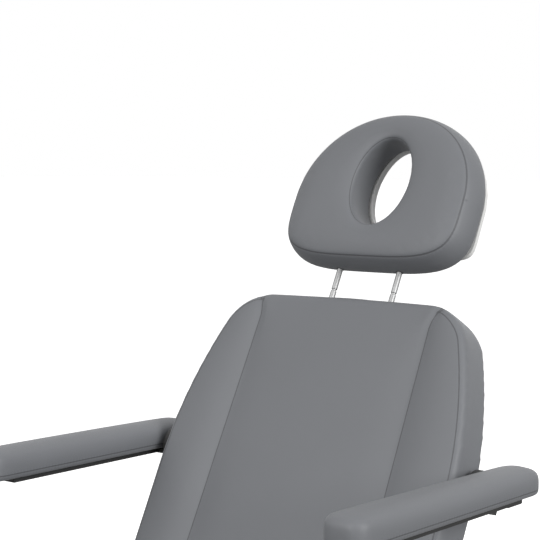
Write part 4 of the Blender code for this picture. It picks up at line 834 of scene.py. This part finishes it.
def make_head_cushion(finish):
    pad_space = back_space()
    low, high = extent("headrest_pad", pad_space)
    chin = high.y - HEAD_HEIGHT
    outline = head_outline(chin)
    front = high.z - HEAD_MARGIN
    wall = swelled_wall(outline, low.z, front)
    mesh = remeshed(holed_pad(wall, chin, low.z, front), HEAD_VOXEL)
    smoothed(mesh)
    points = coordinates(mesh)
    around = edge_seam(points, outline, HEAD_EDGE_INSET + HEAD_EDGE_RADIUS * HEAD_SEAM_SHARE)
    hole = hole_outline(chin, np.linspace(0.0, 2 * math.pi, HOLE_POINTS, endpoint=False))
    lip, lip_run = signed_distance(points[:, :2], inset(hole, -HOLE_LIP * HOLE_SEAM_SHARE))
    fine = (lip * HOLE_SEAM_FINENESS, lip_run)
    seams = nearest_seam(on_face(mesh, around), on_face(mesh, fine))
    still = (lip > 0) | (points[:, 1] < chin + FACING_GRIP)
    height = np.clip((points[:, 2] - low.z) / (front - low.z), 0.0, 1.0)
    points[:, 2] += head_face(around[0], -lip) * height ** 2
    move_to(mesh, points)
    inflate(mesh, held_at(mesh, low.z, seams[0]) | still, HEAD_CAP)
    draw_seams(mesh, *seams)
    upholster("head_cushion", "headrest_pad", "headrest", mesh, pad_space, finish)


def make_seat_cushion(finish):
    pad_space = level_space()
    low, high = extent("seat_pad", pad_space)
    half = high.x - PAD_MARGIN
    outline = pad_outline(low.y + PAD_MARGIN, high.y - PAD_MARGIN, lambda y: half, SEAT_FRONT_CORNER,
                          SEAT_REAR_CORNER)
    front = high.z - SEAT_CROWN - PAD_MARGIN
    wall = wall_loops(outline, low.z, front, SEAT_EDGE_RADIUS, WALL_DRAW)
    mesh = remeshed(closed_pad(wall, front, SEAT_CROWN), PAD_VOXEL)
    smoothed(mesh)
    points = coordinates(mesh)
    outside = np.abs(points[:, 0]) - SEAT_SEAM
    edge = edge_seam(points, outline, EDGE_SEAM_INSET)
    seams = nearest_seam(on_face(mesh, (outside, points[:, 1])), on_face(mesh, edge))
    shape_face(mesh, valley(seams[0], SEAM_VALLEY_WIDTH, SEAT_SEAM_DEPTH))
    inflate(mesh, held_at(mesh, low.z, seams[0]), SEAT_CAP)
    draw_seams(mesh, *seams)
    upholster("seat_cushion", "seat_pad", "seat", mesh, pad_space, finish)


def mirrored(mesh):
    """A copy mirrored across the chair's middle plane, in pad space."""
    copy = mesh.copy()
    copy.transform(Matrix.Scale(-1, 4, ACROSS))
    copy.flip_normals()
    return copy


def make_leg_cushions(finish):
    pad_space = leg_space("left")
    low, high = extent("leg_pad_left", pad_space)
    half = (high.x - low.x) / 2 - PAD_MARGIN
    middle = (low.x + high.x) / 2
    outline = pad_outline(low.y + PAD_MARGIN, high.y - PAD_MARGIN, lambda y: half, LEG_TOE_CORNER,
                          LEG_KNEE_CORNER)
    front = high.z - LEG_CROWN - PAD_MARGIN
    wall = wall_loops(outline, low.z, front, LEG_EDGE_RADIUS, WALL_DRAW)
    mesh = remeshed(closed_pad(wall, front, LEG_CROWN), PAD_VOXEL)
    smoothed(mesh)
    seams = on_face(mesh, edge_seam(coordinates(mesh), outline, EDGE_SEAM_INSET))
    shape_face(mesh, valley(seams[0], SEAM_VALLEY_WIDTH, LEG_SEAM_DEPTH))
    inflate(mesh, held_at(mesh, low.z, seams[0]), LEG_CAP)
    draw_seams(mesh, *seams)
    copies = {"left": mesh, "right": mirrored(mesh)}
    for side, sign in SIDES:
        copies[side].transform(Matrix.Translation((sign * middle, 0, 0)))
        upholster(f"leg_cushion_{side}", f"leg_pad_{side}", f"leg_carriage_{side}", copies[side],
                  leg_space(side), finish)


def make_arm_cushions(finish):
    pad_space = level_space()
    low, high = extent("arm_pad_left", pad_space)
    middle = (low.x + high.x) / 2
    half = (high.x - low.x) / 2 - PAD_MARGIN
    outline = pad_outline(low.y + PAD_MARGIN, high.y - PAD_MARGIN, lambda y: half, ARM_FRONT_CORNER,
                          ARM_REAR_CORNER, ARM_STEP)
    front = high.z - ARM_CROWN - PAD_MARGIN
    wall = wall_loops(outline, low.z, front, ARM_EDGE_RADIUS, 0.0)
    mesh = remeshed(closed_pad(wall, front, ARM_CROWN), ARM_VOXEL)
    smoothed(mesh)
    points = coordinates(mesh)
    along = (points[:, 1] - low.y) / (high.y - low.y)
    height = (points[:, 2] - low.z) / (high.z - low.z)
    points[:, 2] -= ARM_REAR_FALL * along * np.clip(height, 0.0, 1.0)
    move_to(mesh, points)
    seams = (points[:, 2] - low.z - ARM_SEAM_HEIGHT, signed_distance(points[:, :2], outline)[1])
    inflate(mesh, held_at(mesh, low.z, seams[0]), ARM_CAP)
    draw_seams(mesh, *seams)
    copies = {"left": mesh, "right": mirrored(mesh)}
    for side, sign in SIDES:
        copies[side].transform(Matrix.Translation((sign * middle, 0, 0)))
        upholster(f"arm_cushion_{side}", f"arm_pad_{side}", f"arm_{side}", copies[side],
                  pad_space, finish)


# Fasteners and fittings

def surface_point(node, start, direction):
    """Where a line from a start point meets a CAD node, and the surface's normal there."""
    solid = frame["nodes"][node]
    inverse = solid.matrix_world.inverted()
    hit, place, normal, _ = solid.ray_cast(inverse @ start, (inverse.to_3x3() @ direction).normalized())
    if not hit:
        raise ValueError(f"no surface of {node} on the line")
    return solid.matrix_world @ place, (solid.matrix_world.to_3x3() @ normal).normalized()


def ring_points(radius, sides):
    """Points round a circle, or round a polygon when it has a number of sides."""
    points = []
    for i in range(TURNING_POINTS):
        angle = 2 * math.pi * i / TURNING_POINTS
        flat = math.pi / sides if sides else 0.0
        reach = radius * math.cos(flat) / math.cos((angle % (2 * flat)) - flat) if sides else radius
        points.append((reach * math.cos(angle), reach * math.sin(angle)))
    return points


def add_turning(bm, place, axis, profile):
    """Adds a turned body to a mesh. The profile lists (height, radius, sides), with 0 sides for round."""
    turn = Vector(axis).to_track_quat("Z", "Y").to_matrix().to_4x4()
    local = Matrix.Translation(place) @ turn
    rows = [[bm.verts.new(local @ Vector((x, y, height))) for x, y in ring_points(radius, sides)]
            for height, radius, sides in profile]
    for low, high in zip(rows, rows[1:]):
        for i, vert in enumerate(low):
            j = (i + 1) % len(low)
            bm.faces.new((vert, low[j], high[j], high[i]))
    bm.faces.new(rows[0])
    bm.faces.new(rows[-1])


def screw_profile(radius):
    """A low button head with a hexagon socket, sunk a little into the piece that it holds."""
    height = radius * 0.55
    return ((-FASTENER_SINK, radius, 0), (height * 0.35, radius, 0), (height * 0.8, radius * 0.8, 0),
            (height, radius * 0.55, 0), (height, radius * 0.42, 6), (height * 0.25, radius * 0.42, 6))


def bolt_profile(radius):
    """A hexagon bolt head on its washer."""
    return ((-FASTENER_SINK, radius * 1.25, 0), (radius * 0.22, radius * 1.25, 0), (radius * 0.22, radius, 6),
            (radius * 0.85, radius, 6), (radius * 0.95, radius * 0.85, 0))


def fit(name, bm, body, finish):
    """Makes one piece of the scene from a mesh and hangs it on its body."""
    bmesh.ops.recalc_face_normals(bm, faces=bm.faces)
    mesh = bpy.data.meshes.new(name)
    bm.to_mesh(mesh)
    bm.free()
    mesh.shade_smooth()
    mesh.set_sharp_from_angle(angle=SHARP_ANGLE)
    mesh.materials.append(finish)
    piece = bpy.data.objects.new(name, mesh)
    bpy.context.scene.collection.objects.link(piece)
    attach(piece, body)


def make_fasteners(name, node, body, starts, direction, profile, finishes, slot="zinc_steel"):
    """A set of screws or bolts, each seated where its line meets the node."""
    bm = bmesh.new()
    for start in starts:
        place, normal = surface_point(node, Vector(start), Vector(direction))
        add_turning(bm, place, normal, profile)
    fit(name, bm, body, finishes[slot])


def make_back_screws(finishes):
    pad_space = back_space()
    out = pad_space.to_3x3().col[2]
    low, high = extent("back_shell", pad_space)
    rows = (low.y + SHELL_SCREW_FOOT, (low.y + high.y) / 2, high.y - SHELL_SCREW_TOP)
    starts = [pad_space @ Vector((sign * SHELL_SCREW_X, y, low.z - AWAY)) for y in rows for _, sign in SIDES]
    make_fasteners("back_shell_screws", "back_shell", "back", starts, out, screw_profile(SCREW), finishes)
    low, high = extent("headrest_plate", pad_space)
    (foot_x, foot), (top_x, top) = PLATE_SCREWS
    rows = ((foot_x, low.y + foot), (top_x, high.y - top))
    starts = [pad_space @ Vector((sign * x, y, low.z - AWAY)) for x, y in rows for _, sign in SIDES]
    make_fasteners("headrest_plate_screws", "headrest_plate", "headrest", starts, out,
                   screw_profile(SMALL_SCREW), finishes)


def make_frame_bolts(finishes):
    for side, sign in SIDES:
        low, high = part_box(f"seat_rail_{side}")
        height = (low[2] + high[2]) / 2
        places = np.linspace(low[1] + PLATE_BOLT_FRONT, high[1] - PLATE_BOLT_REAR, 3)
        outer = max(abs(cad_box[0][0]), abs(cad_box[1][0])) + AWAY
        starts = [(sign * outer, y, height) for y in places]
        make_fasteners(f"side_plate_bolts_{side}", f"side_plate_{side}", "seat", starts, (-sign, 0, 0),
                       bolt_profile(BOLT), finishes)
        low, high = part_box(f"arm_pad_{side}")
        places = (low[1] + ARM_SCREW_FRONT, high[1] - ARM_SCREW_REAR)
        starts = [((low[0] + high[0]) / 2, y, low[2] - 2 * AWAY) for y in places]
        make_fasteners(f"arm_screws_{side}", f"arm_bracket_{side}", f"arm_{side}", starts, (0, 0, 1),
                       screw_profile(SCREW), finishes)


def make_leg_screws(finishes):
    for side, _ in SIDES:
        pad_space = leg_space(side)
        out = pad_space.to_3x3().col[2]
        low, high = extent(f"leg_board_{side}", pad_space)
        middle = (low.x + high.x) / 2
        (toe_x, toe), (knee_x, knee) = LEG_SCREWS
        rows = ((toe_x, low.y + toe), (knee_x, high.y - knee))
        starts = [pad_space @ Vector((middle + way * x, y, low.z - AWAY)) for x, y in rows for way in (-1, 1)]
        make_fasteners(f"leg_board_screws_{side}", f"leg_board_{side}", f"leg_carriage_{side}", starts, out,
                       screw_profile(SMALL_SCREW), finishes)


def make_post_sleeves(finishes):
    """Black sleeves where the headrest's posts go into its pad."""
    pad_space = back_space()
    along = pad_space.to_3x3().col[1]
    bm = bmesh.new()
    chin = extent("headrest_pad", pad_space)[0].y
    for side, _ in SIDES:
        low, high = extent(f"headrest_post_{side}", pad_space)
        place = pad_space @ Vector(((low.x + high.x) / 2, chin, (low.z + high.z) / 2))
        radius = (high.x - low.x) / 2
        add_turning(bm, place, -along, [(height, radius + wall, 0) for height, wall in SLEEVE])
    fit("headrest_post_sleeves", bm, "headrest", finishes["black_plastic"])


def make_inlet_pins(finishes):
    """The three flat pins in the well of the mains inlet."""
    low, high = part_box("power_inlet")
    middle_x, middle_z = (low[0] + high[0]) / 2, (low[2] + high[2]) / 2
    bm = bmesh.new()
    for x, z in INLET_PINS:
        start = Vector((middle_x + x, high[1] + AWAY, middle_z + z))
        place, _ = surface_point("power_inlet", start, Vector((0, -1, 0)))
        place.y += PIN_SIZE[1] / 2 - PIN_SINK
        shape = Matrix.Translation(place) @ Matrix.Diagonal((*PIN_SIZE, 1.0))
        bmesh.ops.create_cube(bm, size=1.0, matrix=shape)
    fit("inlet_pins", bm, "base", finishes["zinc_steel"])


# Studio

def make_floor():
    """Pale floor. The camera sees it white, with the chair's shadow. Gloss sees it grey."""
    finish = Finish("studio_floor")
    camera = finish.ray("Camera")
    reflected = finish.ray("Glossy") + finish.ray("Transmission")
    glow = finish.mix(camera, finish.mix(reflected, shade(0.0), shade(FLOOR_GLOSS)), shade(FLOOR_LIFT))
    finish.set(Base_Color=finish.mix(camera, shade(FLOOR_BOUNCE), shade(FLOOR_COLOUR)), Roughness=0.9)
    finish.set(Emission_Color=glow, Emission_Strength=1.0)
    bm = bmesh.new()
    bmesh.ops.create_grid(bm, x_segments=1, y_segments=1, size=FLOOR_SIZE)
    mesh = bpy.data.meshes.new("studio_floor")
    bm.to_mesh(mesh)
    bm.free()
    mesh.materials.append(finish.material)
    floor = bpy.data.objects.new("studio_floor", mesh)
    bpy.context.scene.collection.objects.link(floor)


def make_world():
    """White for the camera and for gloss, soft grey light for everything else."""
    world = bpy.data.worlds.new("studio")
    bpy.context.scene.world = world
    world.use_nodes = True
    nodes = Nodes(world.node_tree)
    seen = nodes.ray("Camera") + nodes.ray("Glossy") + nodes.ray("Transmission")
    colour = nodes.mix(seen, shade(WORLD_LIGHT), shade(1.0))
    nodes.feed(world.node_tree.nodes["Background"].inputs["Color"], colour)


def make_lamp(name, place, size, power):
    data = bpy.data.lights.new(name, "AREA")
    data.energy = power
    data.size = size
    data.color = LAMP_COLOUR
    lamp = bpy.data.objects.new(name, data)
    bpy.context.scene.collection.objects.link(lamp)
    lamp.location = place
    lamp.rotation_euler = (CHEST - Vector(place)).to_track_quat("-Z", "Y").to_euler()
    lamp.visible_camera = False
    lamp.visible_glossy = name not in NO_GLEAM


def make_camera():
    data = bpy.data.cameras.new("camera")
    data.lens = CAMERA_LENS_MM
    data.sensor_width = SENSOR_MM
    camera = bpy.data.objects.new("camera", data)
    bpy.context.scene.collection.objects.link(camera)
    camera.location = CAMERA_PLACE
    camera.rotation_euler = (math.pi / 2 - CAMERA_PITCH, 0, CAMERA_AZIMUTH)
    bpy.context.scene.camera = camera


def make_studio():
    bpy.context.scene.view_settings.view_transform = "Standard"
    make_floor()
    make_world()
    for lamp in LAMPS:
        make_lamp(*lamp)
    make_camera()


def main():
    cover = leatherette()
    white = moulded_white()
    dark = powder_coat("dark_paint", 0.055, (0.98, 1.0, 1.05), 0.36)
    finishes = {
        "leatherette": cover,
        "white_plastic": white,
        "white_paint": powder_coat("white_paint", 0.78, (1.0, 1.0, 0.99), 0.32),
        "dark_paint": dark,
        "dark_aluminium": dark,
        "black_plastic": black_plastic(),
        "black_paint": powder_coat("black_paint", 0.02, (1.0, 1.0, 1.02), 0.34),
        "chrome": chrome(),
        "satin_chrome": satin_chrome(),
        "zinc_steel": zinc_steel(),
        "rubber": foot_rubber(),
    }
    dress_nodes(finishes)
    make_back_cushion(cover)
    make_head_cushion(cover)
    make_seat_cushion(cover)
    make_arm_cushions(cover)
    make_leg_cushions(cover)
    make_back_screws(finishes)
    make_frame_bolts(finishes)
    make_leg_screws(finishes)
    make_post_sleeves(finishes)
    make_inlet_pins(finishes)
    make_studio()


main()
